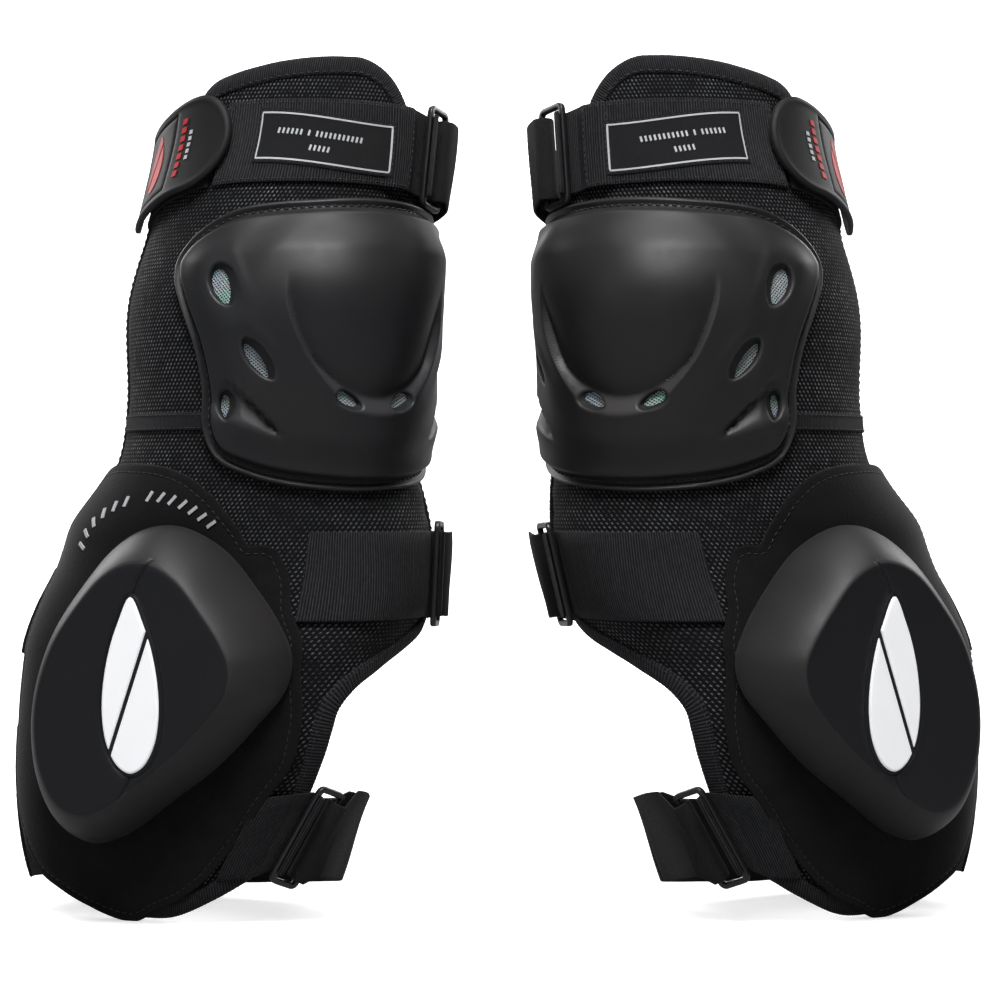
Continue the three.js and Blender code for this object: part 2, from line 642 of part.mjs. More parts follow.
const shinSection = (leg, mid, lower) => [
  piece("shin_panel", "shin", "spacerMesh", rowSheet(leg, SHIN_EDGE, 16, 0, FABRIC)),
  piece("shin_pad", "shin", "foam", rowSheet(leg, SHIN_PAD_EDGE, 8, -7.4, 5.4)),
  piece("shin_binding", "shin", "webbing", shinBinding(leg)),
  piece("slider_patch", "shin", "velour", sliderPatch(leg)),
  piece("mid_band", "shin", "webbing", midBand(leg, mid)),
  piece("mid_strap", "shin", "webbing", midStrap(leg, mid)),
  piece("mid_strap_end", "mid_end", "webbing", webbing(leg, run(MID_END), mid.width)),
  piece("mid_ring", "mid_ring", "plastic", mid.geometry),
  piece("lower_band", "shin", "webbing", lowerBand(leg, lower)),
  piece("lower_strap", "shin", "webbing", lowerStrap(leg, lower)),
  piece("lower_strap_end", "lower_end", "webbing", webbing(leg, run(LOWER_END), lower.width)),
  piece("lower_ring", "lower_ring", "plastic", lower.geometry),
];

// ---------------------------------------------------------------- slider
// The slider's own frame: across, height, and distance out along SLIDER_PHI. Outlines are
// [across, height].
const SLIDER_PHI = -24;
const SLIDER_CENTRE = [8, 114];
const SLIDER_OUTLINE = [
  [1.7, 190.8], [17.6, 191.6], [36.5, 182], [53.7, 163], [66.9, 145], [73, 131], [70.6, 115.8],
  [56.9, 98.7], [36.5, 78.7], [12.1, 61.2], [-13.7, 44.2], [-31.6, 39.4], [-46.5, 46],
  [-57.5, 65], [-61.5, 91], [-58.5, 116], [-48, 143], [-31, 166], [-14, 183],
];
const LEAF_OUTLINE = [
  [7, 77], [0, 80.5], [-5.6, 90], [-8, 102], [-7.8, 116], [-4.6, 133], [0.4, 147], [7, 159],
  [13.6, 147], [18.6, 133], [21.8, 116], [22, 102], [19.6, 90], [14, 80.5],
];
const SLIDER_LIFT = 8.9; // underside above the leg
const SLIDER_RIM = 3.5; // rim thickness
const HOOK_PAD_SCALE = 0.78;
const INLAY = [0.3, 1.1]; // its two faces, above the crown

// Both guards take the slider's origin and crown height from the left leg
const [originX, originY] = interpolate(LEG, SLIDER_CENTRE[1]);
const SLIDER_ORIGIN = new THREE.Vector3(originX, originY, 0);
const sliderPoint = (across, z, out) => SLIDER_ORIGIN.clone()
  .addScaledVector(sideways(SLIDER_PHI), across)
  .addScaledVector(outward(SLIDER_PHI), out)
  .setZ(z);

// Distance out to the leg surface (plus lift) at a place in the slider's frame, by bisection
function legOut(leg, across, z, lift) {
  let low = SLIDER_PHI - 88;
  let high = SLIDER_PHI + 88;
  const fromOrigin = (phi) => leg(phi, z, lift).sub(SLIDER_ORIGIN);
  for (let i = 0; i < 40; i++) {
    const middle = (low + high) / 2;
    if (fromOrigin(middle).dot(sideways(SLIDER_PHI)) < across) low = middle;
    else high = middle;
  }
  return fromOrigin((low + high) / 2).dot(outward(SLIDER_PHI));
}
// Crown is 29 above a lift of 8 at the centre
const SLIDER_TOP = legOut(legSurface(LEG), ...SLIDER_CENTRE, 8) + 29;

const overLeg = (leg, lift) => (across, z) =>
  sliderPoint(across, z, legOut(leg, across, z, lift));

// Flat crown falling smoothly to a thin rim
function sliderPuck(leg) {
  const outer = (across, z, fraction) => {
    const rim = legOut(leg, across, z, SLIDER_LIFT) + SLIDER_RIM;
    return sliderPoint(across, z, rim + (SLIDER_TOP - rim) * ease(fraction, 1, 0.78));
  };
  return disc(SLIDER_OUTLINE, SLIDER_CENTRE, [0.45, 0.78, 0.83, 0.89, 0.95, 1],
    overLeg(leg, SLIDER_LIFT), outer);
}

function sliderHookPad(leg) {
  const outline = shrink(SLIDER_OUTLINE, SLIDER_CENTRE, HOOK_PAD_SCALE)
    .filter((_, i) => i % 2 === 0);
  return disc(outline, SLIDER_CENTRE, [0.55, 1], overLeg(leg, 6.9), overLeg(leg, 7.9));
}

// Plain leaf-shaped inlay on the crown
function sliderInlay() {
  const sections = INLAY.map((height) =>
    LEAF_OUTLINE.map(([across, z]) => sliderPoint(across, z, SLIDER_TOP + height)));
  return loft(sections, flatPoints(LEAF_OUTLINE));
}

const sliderPieces = (leg) => [
  piece("slider_puck", "puck", "slider", sliderPuck(leg)),
  piece("slider_hook_pad", "puck", "velour", sliderHookPad(leg)),
  piece("slider_inlay", "puck", "inlay", sliderInlay()),
];

// ---------------------------------------------------------------- joints and mounts
const hinge = (name, parent, child, at, axis, range) =>
  ({ name, type: "hinge", parent, child, at, axis, range });

// A strap end turns about the line across its underside, half a degree before it starts
function peelHinge(leg, name, child, end, width, travel) {
  const phi = end.from - 0.5;
  const lean = valueAt(end.lean ?? 0, phi);
  const station = { phi, lift: end.lift - WEB_T / 2, z: end.z(phi), lean };
  const { low, high, middle } = webLine(leg, station, width);
  return hinge(name, "shin", child, middle, low.sub(high).normalize(), [0, travel]);
}

function guardJoints(leg, { upper, mid, lower }) {
  const across = sideways(FRONT);
  const thighLine = leg(FRONT, THIGH_Z, FLEX_LIFT);
  const shinLine = leg(FRONT, SHIN_Z, FLEX_LIFT);
  const tabLine = leg(TAB_STATIONS[0], 358.5, 9.8);
  const down = new THREE.Vector3(0, 0, -1);
  const swing = (name, parent, ring, most) =>
    hinge(`${name}_swing`, parent, name, ring.keeper, ring.up, [-SWING, most]);
  return [
    hinge("thigh_flex", "knee", "thigh", thighLine, across.clone().negate(), [0, THIGH_FLEX]),
    hinge("shin_flex", "knee", "shin", shinLine, across, [0, SHIN_FLEX]),
    hinge("tab_peel", "thigh", "tab", tabLine, down, [0, 80]),
    {
      name: "slider_pull", type: "slide", parent: "shin", child: "puck",
      axis: outward(SLIDER_PHI), range: [0, 30],
    },
    swing("upper_ring", "thigh", upper, UPPER_SWING_OUT),
    swing("mid_ring", "shin", mid, SWING),
    swing("lower_ring", "shin", lower, SWING),
    peelHinge(leg, "mid_strap_peel", "mid_end", MID_END, mid.width, 75),
    peelHinge(leg, "lower_strap_peel", "lower_end", LOWER_END, lower.width, 50),
  ];
}

const guardMounts = (leg) => ({
  leg_seat: { at: ontoSeat(leg, leg(FRONT - 3, 282, -10)), axis: outward(FRONT).negate() },
  slider_face: { at: sliderPoint(7, 92, SLIDER_TOP + INLAY[1]), axis: outward(SLIDER_PHI) },
});

// ---------------------------------------------------------------- the pair
function makeGuard(form) {
  const leg = legSurface(form);
  const rings = {
    upper: strapRing(leg, RINGS.upper),
    mid: strapRing(leg, RINGS.mid),
    lower: strapRing(leg, RINGS.lower),
  };
  const pieces = [
    ...kneeSection(leg),
    ...thighSection(leg, rings.upper),
    ...shinSection(leg, rings.mid, rings.lower),
    ...sliderPieces(leg),
  ];
  return { pieces, joints: guardJoints(leg, rings), mounts: guardMounts(leg) };
}

const SIDES = [
  { side: "left", form: LEG, x: LEFT_X, flip: 1, yaw: 0 },
  { side: "right", form: LEG_RIGHT, x: RIGHT_X, flip: -1, yaw: RIGHT_YAW * DEG },
];
const pair = new THREE.Group();
const data = { joints: [], bodies: {}, mounts: {} };
const guards = SIDES.map(({ side, form, x, flip, yaw }) => {
  const made = makeGuard(form);
  const group = new THREE.Group();
  group.name = `${side}_guard`;
  group.position.x = x;
  group.scale.x = flip;
  group.rotation.z = yaw;
  for (const { name, body, material, geometry } of made.pieces) {
    const mesh = new THREE.Mesh(geometry, new THREE.MeshStandardMaterial(MATERIAL[material]));
    mesh.name = `${side}_${name}`;
    group.add(mesh);
    (data.bodies[`${side}_${body}`] ||= []).push(mesh.name);
  }
  pair.add(group);
  return { side, flip, yaw, group, ...made };
});

// The origin is on the ground plane, at the middle of the pair's box
pair.updateMatrixWorld(true);
const box = new THREE.Box3().setFromObject(pair, true);
const offset = box.getCenter(new THREE.Vector3()).setZ(box.min.z);
for (const { group } of guards) group.position.sub(offset);
pair.updateMatrixWorld(true);

for (const { side, flip, yaw, group, joints, mounts } of guards) {
  const placed = (point) => point.clone().applyMatrix4(group.matrixWorld).toArray();
  const turned = (axis) => {
    const mirrored = axis.clone().setX(axis.x * flip);
    return mirrored.applyMatrix4(new THREE.Matrix4().makeRotationZ(yaw));
  };
  for (const { name, type, parent, child, at, axis, range } of joints) {
    const direction = turned(axis);
    // Mirroring reverses the sense of a turn
    if (type === "hinge") direction.multiplyScalar(flip);
    data.joints.push({
      name: `${side}_${name}`,
      type,
      parent: `${side}_${parent}`,
      child: `${side}_${child}`,
      at: at ? placed(at) : null,
      axis: direction.toArray(),
      range,
    });
  }
  for (const [name, { at, axis }] of Object.entries(mounts)) {
    data.mounts[`${side}_${name}`] = { at: placed(at), axis: turned(axis).toArray() };
  }
}
data.offset = offset.toArray();
data.size = box.getSize(new THREE.Vector3()).toArray();
pair.userData = data;

export default pair;
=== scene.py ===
"""A pair of knee and shin guards standing side by side, their fronts towards -Y.

Each guard is drawn in mm in its own frame, wrapped on a leg form. A place on it is an angle
phi (degrees about the leg, 0 towards -Y, growing towards +X) or an arc length s (mm, phi * ARC),
a height z, and a depth out from the form. The right guard is mirrored in x and turned.
"""
import math
import bpy
import bmesh
import numpy as np
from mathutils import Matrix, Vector, noise
from mathutils.geometry import delaunay_2d_cdt
from mathutils.kdtree import KDTree


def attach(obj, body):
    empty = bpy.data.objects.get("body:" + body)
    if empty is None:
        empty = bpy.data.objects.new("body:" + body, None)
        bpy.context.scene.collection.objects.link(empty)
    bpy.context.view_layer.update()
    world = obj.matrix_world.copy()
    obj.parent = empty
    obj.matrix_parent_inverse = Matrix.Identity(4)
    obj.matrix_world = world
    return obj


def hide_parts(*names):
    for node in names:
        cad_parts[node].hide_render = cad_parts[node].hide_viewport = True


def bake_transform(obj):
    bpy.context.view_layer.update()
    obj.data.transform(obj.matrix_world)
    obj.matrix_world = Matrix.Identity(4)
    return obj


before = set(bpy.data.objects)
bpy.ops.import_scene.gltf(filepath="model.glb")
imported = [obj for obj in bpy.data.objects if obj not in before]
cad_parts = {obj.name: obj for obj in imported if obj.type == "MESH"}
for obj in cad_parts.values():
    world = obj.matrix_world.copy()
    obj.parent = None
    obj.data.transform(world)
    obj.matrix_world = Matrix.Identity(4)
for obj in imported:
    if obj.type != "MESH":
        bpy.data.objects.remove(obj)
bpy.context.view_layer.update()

DEG = math.pi / 180
ARC = DEG * 76.0        # mm of arc length s per degree of phi
FRONT = 40.0            # phi the knee cup is centred on
CUP_RADIUS = 75         # turns the cup's own arc lengths into angles
BASE_Z = -1.5           # height of the guards' frames in the scene
LEFT_ORIGIN = [-99.916, 8.415, BASE_Z]
RIGHT_ORIGIN = [101.284, 8.415, BASE_Z]
RIGHT_TURN = 8 * DEG
KNEE_TO_THIGH = ("knee", "thigh", 340, 360)   # two bodies, and the heights of the blend
KNEE_TO_SHIN = ("knee", "shin", 214, 193)

# The leg: z, centre x, centre y, half width, half depth, roundness power, twist in degrees
LEG = np.array([
    [-10, -56, 4, 58, 40, 2.8, -24], [20, -57, 4, 70, 46, 3.0, -24],
    [55, -54, 3, 77, 51, 3.3, -24], [95, -43, 1, 87, 55, 3.6, -24],
    [130, -38, 0, 90, 57, 3.3, -24], [150, -32, 0, 91, 59, 2.8, -20],
    [170, -26, 0, 87, 60, 2.5, -14], [190, -22, 0, 83, 61, 2.3, -7],
    [220, -15, 0, 70, 62, 2.1, 0], [250, -13.5, 0, 66, 64, 2, 0], [300, -13, 0, 66, 64, 2, 0],
    [345, -4, 3, 63, 58, 2, 0], [380, 2, 7, 62, 52, 2, 0], [420, 4, 12, 61, 49, 2, 0]], float)
LEG_RIGHT = LEG.copy()
above_calf = np.clip((LEG[:, 0] - 130) / 90, 0, 1)
above_knee = np.clip((LEG[:, 0] - 320) / 40, 0, 1)
LEG_RIGHT[:, 1] += 11 * above_calf - 4 * above_knee
LEG_RIGHT[:, 3] += 5 * above_calf - 3 * above_knee

# Sewing threads: dash length, gap, thread radius, lift off the surface
THREADS = {
    "binding": (2.6, 1.1, 0.26, 0.12), "seam": (2.4, 1.0, 0.24, 0.12),
    "cup": (2.6, 1.3, 0.42, 0.16), "strap": (2.3, 0.9, 0.24, 0.05),
    "label": (1.9, 0.8, 0.2, 0.04), "patch": (2.6, 1.1, 0.28, 0.12),
    "pad": (2.6, 1.1, 0.26, 0.1)}


# ---------------------------------------------------------------- curves and number helpers
def smooth(x):
    x = np.clip(x, 0, 1)
    return x * x * (3 - 2 * x)


def bell(x, width):
    return np.exp(-(x / width) ** 2)


def edge_drop(distance, width):
    """1 at an edge, falling to 0 at the width: rounds an edge off."""
    return np.clip(1 - distance / width, 0, 1) ** 2


def unit(vectors):
    return vectors / (np.linalg.norm(vectors, axis=-1, keepdims=True) + 1e-9)


def table(rows, x):
    """Smooth interpolation of the columns after the first, which holds x."""
    rows = np.asarray(rows, float)
    xs, n = rows[:, 0], len(rows)
    x = np.clip(np.asarray(x, float), xs[0], xs[-1])
    i = np.clip(np.searchsorted(xs, x, side="left") - 1, 0, n - 2)
    up, down = np.minimum(np.arange(n) + 1, n - 1), np.maximum(np.arange(n) - 1, 0)
    slope = (rows[up, 1:] - rows[down, 1:]) / (xs[up] - xs[down])[:, None]
    span = (xs[i + 1] - xs[i])[..., None]
    t = (x - xs[i])[..., None] / span
    t2, t3 = t * t, t * t * t
    return ((2 * t3 - 3 * t2 + 1) * rows[i, 1:] + (t3 - 2 * t2 + t) * slope[i] * span
            + (-2 * t3 + 3 * t2) * rows[i + 1, 1:] + (t3 - t2) * slope[i + 1] * span)


def curve(rows, x):
    return table(rows, x)[..., 0]


def noise_at(x, y, z, scale, seed):
    places = zip(x.ravel(), y.ravel(), z.ravel())
    values = [noise.noise(Vector((a * scale + seed, b * scale, c * scale))) for a, b, c in places]
    return np.array(values).reshape(x.shape)


def run_length(points):
    steps = np.linalg.norm(np.diff(points, axis=0), axis=1)
    return np.concatenate([[0], np.cumsum(steps)])


def at_length(points, lengths, t):
    return np.stack([np.interp(t, lengths, column) for column in points.T], -1)


def resample(points, step, closed=False):
    points = np.asarray(points, float)
    if closed:
        points = np.concatenate([points, points[:1]])
    lengths = run_length(points)
    t = np.linspace(0, lengths[-1], max(2, int(round(lengths[-1] / step))) + 1)
    return at_length(points, lengths, t[:-1] if closed else t)


def full_circuit(outline, step):
    """Evenly spaced ring that ends on its first point."""
    ring = resample(outline, step, True)
    return np.concatenate([ring, ring[:1]])


def spline(points, step, closed=False):
    """Centripetal Catmull-Rom curve through the points, resampled evenly."""
    p = np.asarray(points, float)
    if closed:
        ends = np.concatenate([p[-1:], p, p[:2]])
    else:
        ends = np.concatenate([2 * p[:1] - p[1:2], p, 2 * p[-1:] - p[-2:-1]])
    out = []
    for p0, p1, p2, p3 in zip(ends, ends[1:], ends[2:], ends[3:]):
        gaps = [np.linalg.norm(b - a) ** 0.5 + 1e-9 for a, b in ((p0, p1), (p1, p2), (p2, p3))]
        t0, t1, t2, t3 = np.cumsum([0] + gaps)
        t = np.linspace(t1, t2, 24, endpoint=False)[:, None]

        def between(a, b, ta, tb):
            return (tb - t) / (tb - ta) * a + (t - ta) / (tb - ta) * b

        a1, a2, a3 = between(p0, p1, t0, t1), between(p1, p2, t1, t2), between(p2, p3, t2, t3)
        out.extend(between(between(a1, a2, t0, t2), between(a2, a3, t1, t3), t1, t2))
    if not closed:
        out.append(p[-1])
    return resample(out, step, closed)


def rect(x0, x1, y0, y1):
    return np.array([(x0, y0), (x1, y0), (x1, y1), (x0, y1)], float)


def rounded_rect(x0, x1, y0, y1, radius, per_corner):
    centres = [(x1 - radius, y1 - radius), (x0 + radius, y1 - radius),
               (x0 + radius, y0 + radius), (x1 - radius, y0 + radius)]
    return np.array([(x + radius * math.cos(a * DEG), y + radius * math.sin(a * DEG))
                     for quarter, (x, y) in enumerate(centres)
                     for a in np.linspace(90 * quarter, 90 * quarter + 90, per_corner)])


def signed_area(poly):
    x, y = poly.T
    return 0.5 * np.sum(x * np.roll(y, -1) - np.roll(x, -1) * y)


def counter_clockwise(poly):
    return poly if signed_area(poly) > 0 else poly[::-1]


def left_normals(line, closed=False):
    ahead = np.roll(line, -1, 0) - np.roll(line, 1, 0) if closed else np.gradient(line, axis=0)
    tangent = unit(ahead)
    return np.stack([-tangent[:, 1], tangent[:, 0]], 1)


def offset_ring(poly, distance):
    """Closed ring moved inwards by the distance."""
    return poly + left_normals(poly, True) * np.sign(signed_area(poly)) * distance


def inside(poly, points):
    x, y = points[:, 0], points[:, 1]
    result = np.zeros(len(points), bool)
    for (x0, y0), (x1, y1) in zip(poly, np.roll(poly, -1, 0)):
        if y0 != y1:
            result ^= ((y0 > y) != (y1 > y)) & (x < (x1 - x0) * (y - y0) / (y1 - y0) + x0)
    return result


def line_distance(line, points, closed=True):
    starts, ends = (line, np.roll(line, -1, 0)) if closed else (line[:-1], line[1:])
    best = np.full(len(points), 1e9)
    for p, q in zip(starts, ends):
        d = q - p
        t = np.clip(((points - p) @ d) / max(d @ d, 1e-9), 0, 1)
        best = np.minimum(best, np.linalg.norm(points - p - t[:, None] * d, axis=1))
    return best


def halves(poly, point, direction, gap):
    """The two pieces of an outline on either side of a straight gap through a point."""
    dx, dy = np.array(direction) / np.hypot(*direction)
    out = []
    for normal in (np.array([-dy, dx]), np.array([dy, -dx])):
        height = (poly - np.array(point)) @ normal - gap
        piece = []
        for i in range(len(poly)):
            j = (i + 1) % len(poly)
            if height[i] >= 0:
                piece.append(poly[i])
            if (height[i] >= 0) != (height[j] >= 0):
                share = height[i] / (height[i] - height[j])
                piece.append(poly[i] + (poly[j] - poly[i]) * share)
        out.append(counter_clockwise(resample(piece, 0.9, True)))
    return out


# ---------------------------------------------------------------- the guard's frame and meshes
class Guard:
    def __init__(self, side):
        self.side = side
        self.right = side == "right"
        self.form = LEG_RIGHT if self.right else LEG

    def at(self, phi, z, depth):
        phi, z, depth = np.broadcast_arrays(*[np.asarray(v, float) for v in (phi, z, depth)])
        cx, cy, half_x, half_y, power, twist = np.moveaxis(table(self.form, z), -1, 0)
        turn = (phi - twist) * DEG
        reach = (np.abs(np.cos(turn) / (half_y + depth)) ** power
                 + np.abs(np.sin(turn) / (half_x + depth)) ** power) ** (-1 / power)
        return np.stack([cx + reach * np.sin(phi * DEG), cy - reach * np.cos(phi * DEG), z], -1)

    def flat(self, s, z, depth):
        return self.at(np.asarray(s, float) / ARC, z, depth)

    def cup(self, s, z, depth):
        return self.at(FRONT + s / CUP_RADIUS / DEG, z, depth)

    def world(self, p):
        if not self.right:
            return (p + LEFT_ORIGIN) / 1000
        x, y, z = -p[:, 0], p[:, 1], p[:, 2]
        cos, sin = math.cos(RIGHT_TURN), math.sin(RIGHT_TURN)
        return (np.stack([x * cos - y * sin, x * sin + y * cos, z], 1) + RIGHT_ORIGIN) / 1000


class Pieces:
    """Vertices, faces, UVs in mm and material slots gathered into one object."""
    def __init__(self):
        self.verts, self.faces, self.uvs, self.slots, self.count = [], [], [], [], 0

    def add(self, verts, faces, uv, slot=0):
        self.verts.append(verts)
        self.faces += [tuple(int(i) + self.count for i in face) for face in faces]
        self.uvs.append(uv)
        self.slots += [slot] * len(faces)
        self.count += len(verts)
        return self

    def join(self, other, slot=0):
        return self.add(np.concatenate(other.verts), other.faces, np.concatenate(other.uvs), slot)


def build(guard, name, pieces, mats, replaces=(), body=None, blend=None, sharp=38):
    """Make the object, hide the CAD parts it replaces, and hang it on its body's empty; a blended
    one is only baked in place.
    """
    mesh = bpy.data.meshes.new(f"{guard.side}_{name}")
    mesh.from_pydata(guard.world(np.concatenate(pieces.verts)).tolist(), [], pieces.faces)
    corners = np.empty(len(mesh.loops), np.int32)
    mesh.loops.foreach_get("vertex_index", corners)
    uv = np.concatenate(pieces.uvs)[corners].astype(np.float32)
    mesh.uv_layers.new(name="UVMap").data.foreach_set("uv", uv.ravel())
    for mat in ((mats,) if isinstance(mats, str) else mats):
        mesh.materials.append(MATS[mat])
    mesh.polygons.foreach_set("material_index", np.array(pieces.slots, np.int32))
    bm = bmesh.new()
    bm.from_mesh(mesh)
    bmesh.ops.recalc_face_normals(bm, faces=bm.faces)
    bm.to_mesh(mesh)
    bm.free()
    mesh.polygons.foreach_set("use_smooth", np.ones(len(mesh.polygons), bool))
    mesh.set_sharp_from_angle(angle=math.radians(sharp))
    mesh.update()
    ob = bpy.data.objects.new(mesh.name, mesh)
    bpy.context.scene.collection.objects.link(ob)
    if replaces:
        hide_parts(*[f"{guard.side}_{node}" for node in replaces])
    if blend:
        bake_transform(ob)
    else:
        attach(ob, f"{guard.side}_{body}")
    return ob


def build_stitches(guard, name, pieces, body):
    build(guard, name, pieces, "thread", body=body, sharp=180)


def quads(*corners):
    return np.stack([c.ravel() for c in corners], 1)


def shell(outer, inner, uv):
    """Closed sheet from two grids of points."""
    far = np.arange(outer[..., 0].size).reshape(outer.shape[:2])
    near = far + far.size
    faces = [quads(far[:-1, :-1], far[1:, :-1], far[1:, 1:], far[:-1, 1:]),
             quads(near[:-1, :-1], near[:-1, 1:], near[1:, 1:], near[1:, :-1])]
    for a, b in ((far[:, 0], near[:, 0]), (near[:, -1], far[:, -1]),
                 (near[0], far[0]), (far[-1], near[-1])):
        faces.append(quads(a[:-1], b[:-1], b[1:], a[1:]))
    verts = np.concatenate([outer.reshape(-1, 3), inner.reshape(-1, 3)])
    return verts, np.concatenate(faces), np.concatenate([uv.reshape(-1, 2)] * 2)


def loft(sections, us=None, vs=None, closed=False):
    """Closed profiles joined in a row; end caps unless the row itself closes."""
    m, n = sections.shape[:2]
    index = np.arange(m * n).reshape(m, n)
    a = index if closed else index[:-1]
    b = np.roll(index, -1, 0) if closed else index[1:]
    faces = quads(a, np.roll(a, -1, 1), np.roll(b, -1, 1), b).tolist()
    if not closed:
        faces += [list(index[0][::-1]), list(index[-1])]
    us = np.arange(m) if us is None else us
    vs = np.arange(n) if vs is None else vs
    uv = np.stack(np.meshgrid(us, vs, indexing="ij"), -1)
    return sections.reshape(-1, 3), faces, uv.reshape(-1, 2)


def plate(outline, spacing, top, bottom, rings=(), holes=(), hole_rings=(), extra=()):
    """Flat region filled with even triangles, given a top, a bottom and walls.

    rings and hole_rings are offsets from the edges that get their own points; extra holds
    further point lists.
    """
    loops = [outline, *holes]
    edges, start = [], 0
    for loop in loops:
        n = len(loop)
        edges += [(start + i, start + (i + 1) % n) for i in range(n)]
        start += n

    def within(p):
        ok = inside(outline, p)
        for hole in holes:
            ok &= ~inside(hole, p)
        return ok

    points = np.concatenate(loops)
    kept = [offset_ring(outline, d) for d in rings]
    kept += [offset_ring(hole, -d) for hole in holes for d in hole_rings]
    kept += extra
    if kept:
        kept = np.concatenate(kept)
        ok = within(kept)
        for loop in loops:
            ok &= line_distance(loop, kept) > 0.08
        cells = {}     # one point per small cell, so that none crowd
        for p in kept[ok]:
            cells.setdefault((round(p[0] / 0.22), round(p[1] / 0.22)), p)
        points = np.concatenate([points, list(cells.values())])
    lo, hi = outline.min(0), outline.max(0)
    rows = []
    for i, y in enumerate(np.arange(lo[1], hi[1], spacing * 0.866)):
        x = np.arange(lo[0] + (i % 2) * spacing / 2, hi[0], spacing)
        rows.append(np.stack([x, np.full_like(x, y)], 1))
    grid = np.concatenate(rows)
    grid = grid[within(grid)]
    tree = KDTree(len(points))
    for i, (x, y) in enumerate(points):
        tree.insert((x, y, 0), i)
    tree.balance()
    clear = np.array([tree.find((x, y, 0))[2] > spacing * 0.62 for x, y in grid], bool)
    points = np.concatenate([points, grid[clear]])

    flat, _, tris, *_ = delaunay_2d_cdt([Vector(p) for p in points.tolist()], edges, [], 0, 1e-5)
    flat = np.array([[p[0], p[1]] for p in flat])
    tris = np.array([t for t in tris if len(t) == 3])
    tris = tris[within(flat[tris].mean(1))]
    used, tris = np.unique(tris, return_inverse=True)
    flat, tris = flat[used], tris.reshape(-1, 3)
    a, b = flat[tris[:, 1]] - flat[tris[:, 0]], flat[tris[:, 2]] - flat[tris[:, 0]]
    flip = a[:, 0] * b[:, 1] - a[:, 1] * b[:, 0] < 0
    tris[flip] = tris[flip][:, ::-1]
    rim = {}     # directed edges met from one side only
    for tri in tris.tolist():
        for p, q in zip(tri, tri[1:] + tri[:1]):
            if (q, p) in rim:
                del rim[(q, p)]
            else:
                rim[(p, q)] = True
    n = len(flat)
    faces = tris.tolist() + (tris[:, ::-1] + n).tolist() + [(q, p, p + n, q + n) for p, q in rim]
    x, y = flat.T
    return np.concatenate([top(x, y), bottom(x, y)]), faces, np.concatenate([flat, flat])


# A dash of thread: share of its length, height and thickness in thread radii
DASH = np.array([[0, -0.5, 0.35], [0.12, 0.1, 0.8], [0.35, 0.9, 1],
                 [0.65, 0.9, 1], [0.88, 0.1, 0.8], [1, -0.5, 0.35]])


def stitches(surface, s, z, depth, thread, facing=1):
    """Row of thread dashes on a surface, each dipping in at its ends."""
    length, gap, radius, lift = THREADS[thread]
    line = surface(s, z, depth)
    normal = facing * (surface(s, z, depth + 3) - line)
    lengths = run_length(line)
    angles = np.arange(6) * math.pi / 3
    height = (DASH[:, 1] * radius + lift)[:, None]
    thick = (DASH[:, 2] * radius)[:, None]
    out = Pieces()
    start = gap / 2
    while start + length < lengths[-1]:
        along = start + length * DASH[:, 0]
        centre = at_length(line, lengths, along)
        up = unit(at_length(normal, lengths, along))
        across = np.cross(unit(centre[-1] - centre[0]), up)
        sections = (centre[:, None]
                    + up[:, None] * (height + thick * 0.75 * np.cos(angles))[..., None]
                    + across[:, None] * (thick * np.sin(angles))[..., None])
        out.add(*loft(sections, along))
        start += length + gap
    return out


def ribbon(surface, line, half, low, high, closed=False):
    """Thin raised line on a surface, between two depths."""
    line = resample(line, 0.9, closed)
    normal = left_normals(line, closed)
    (ax, ay), (bx, by) = (line + normal * half).T, (line - normal * half).T
    return loft(np.stack([surface(ax, ay, low), surface(ax, ay, high),
                          surface(bx, by, high), surface(bx, by, low)], 1), closed=closed)


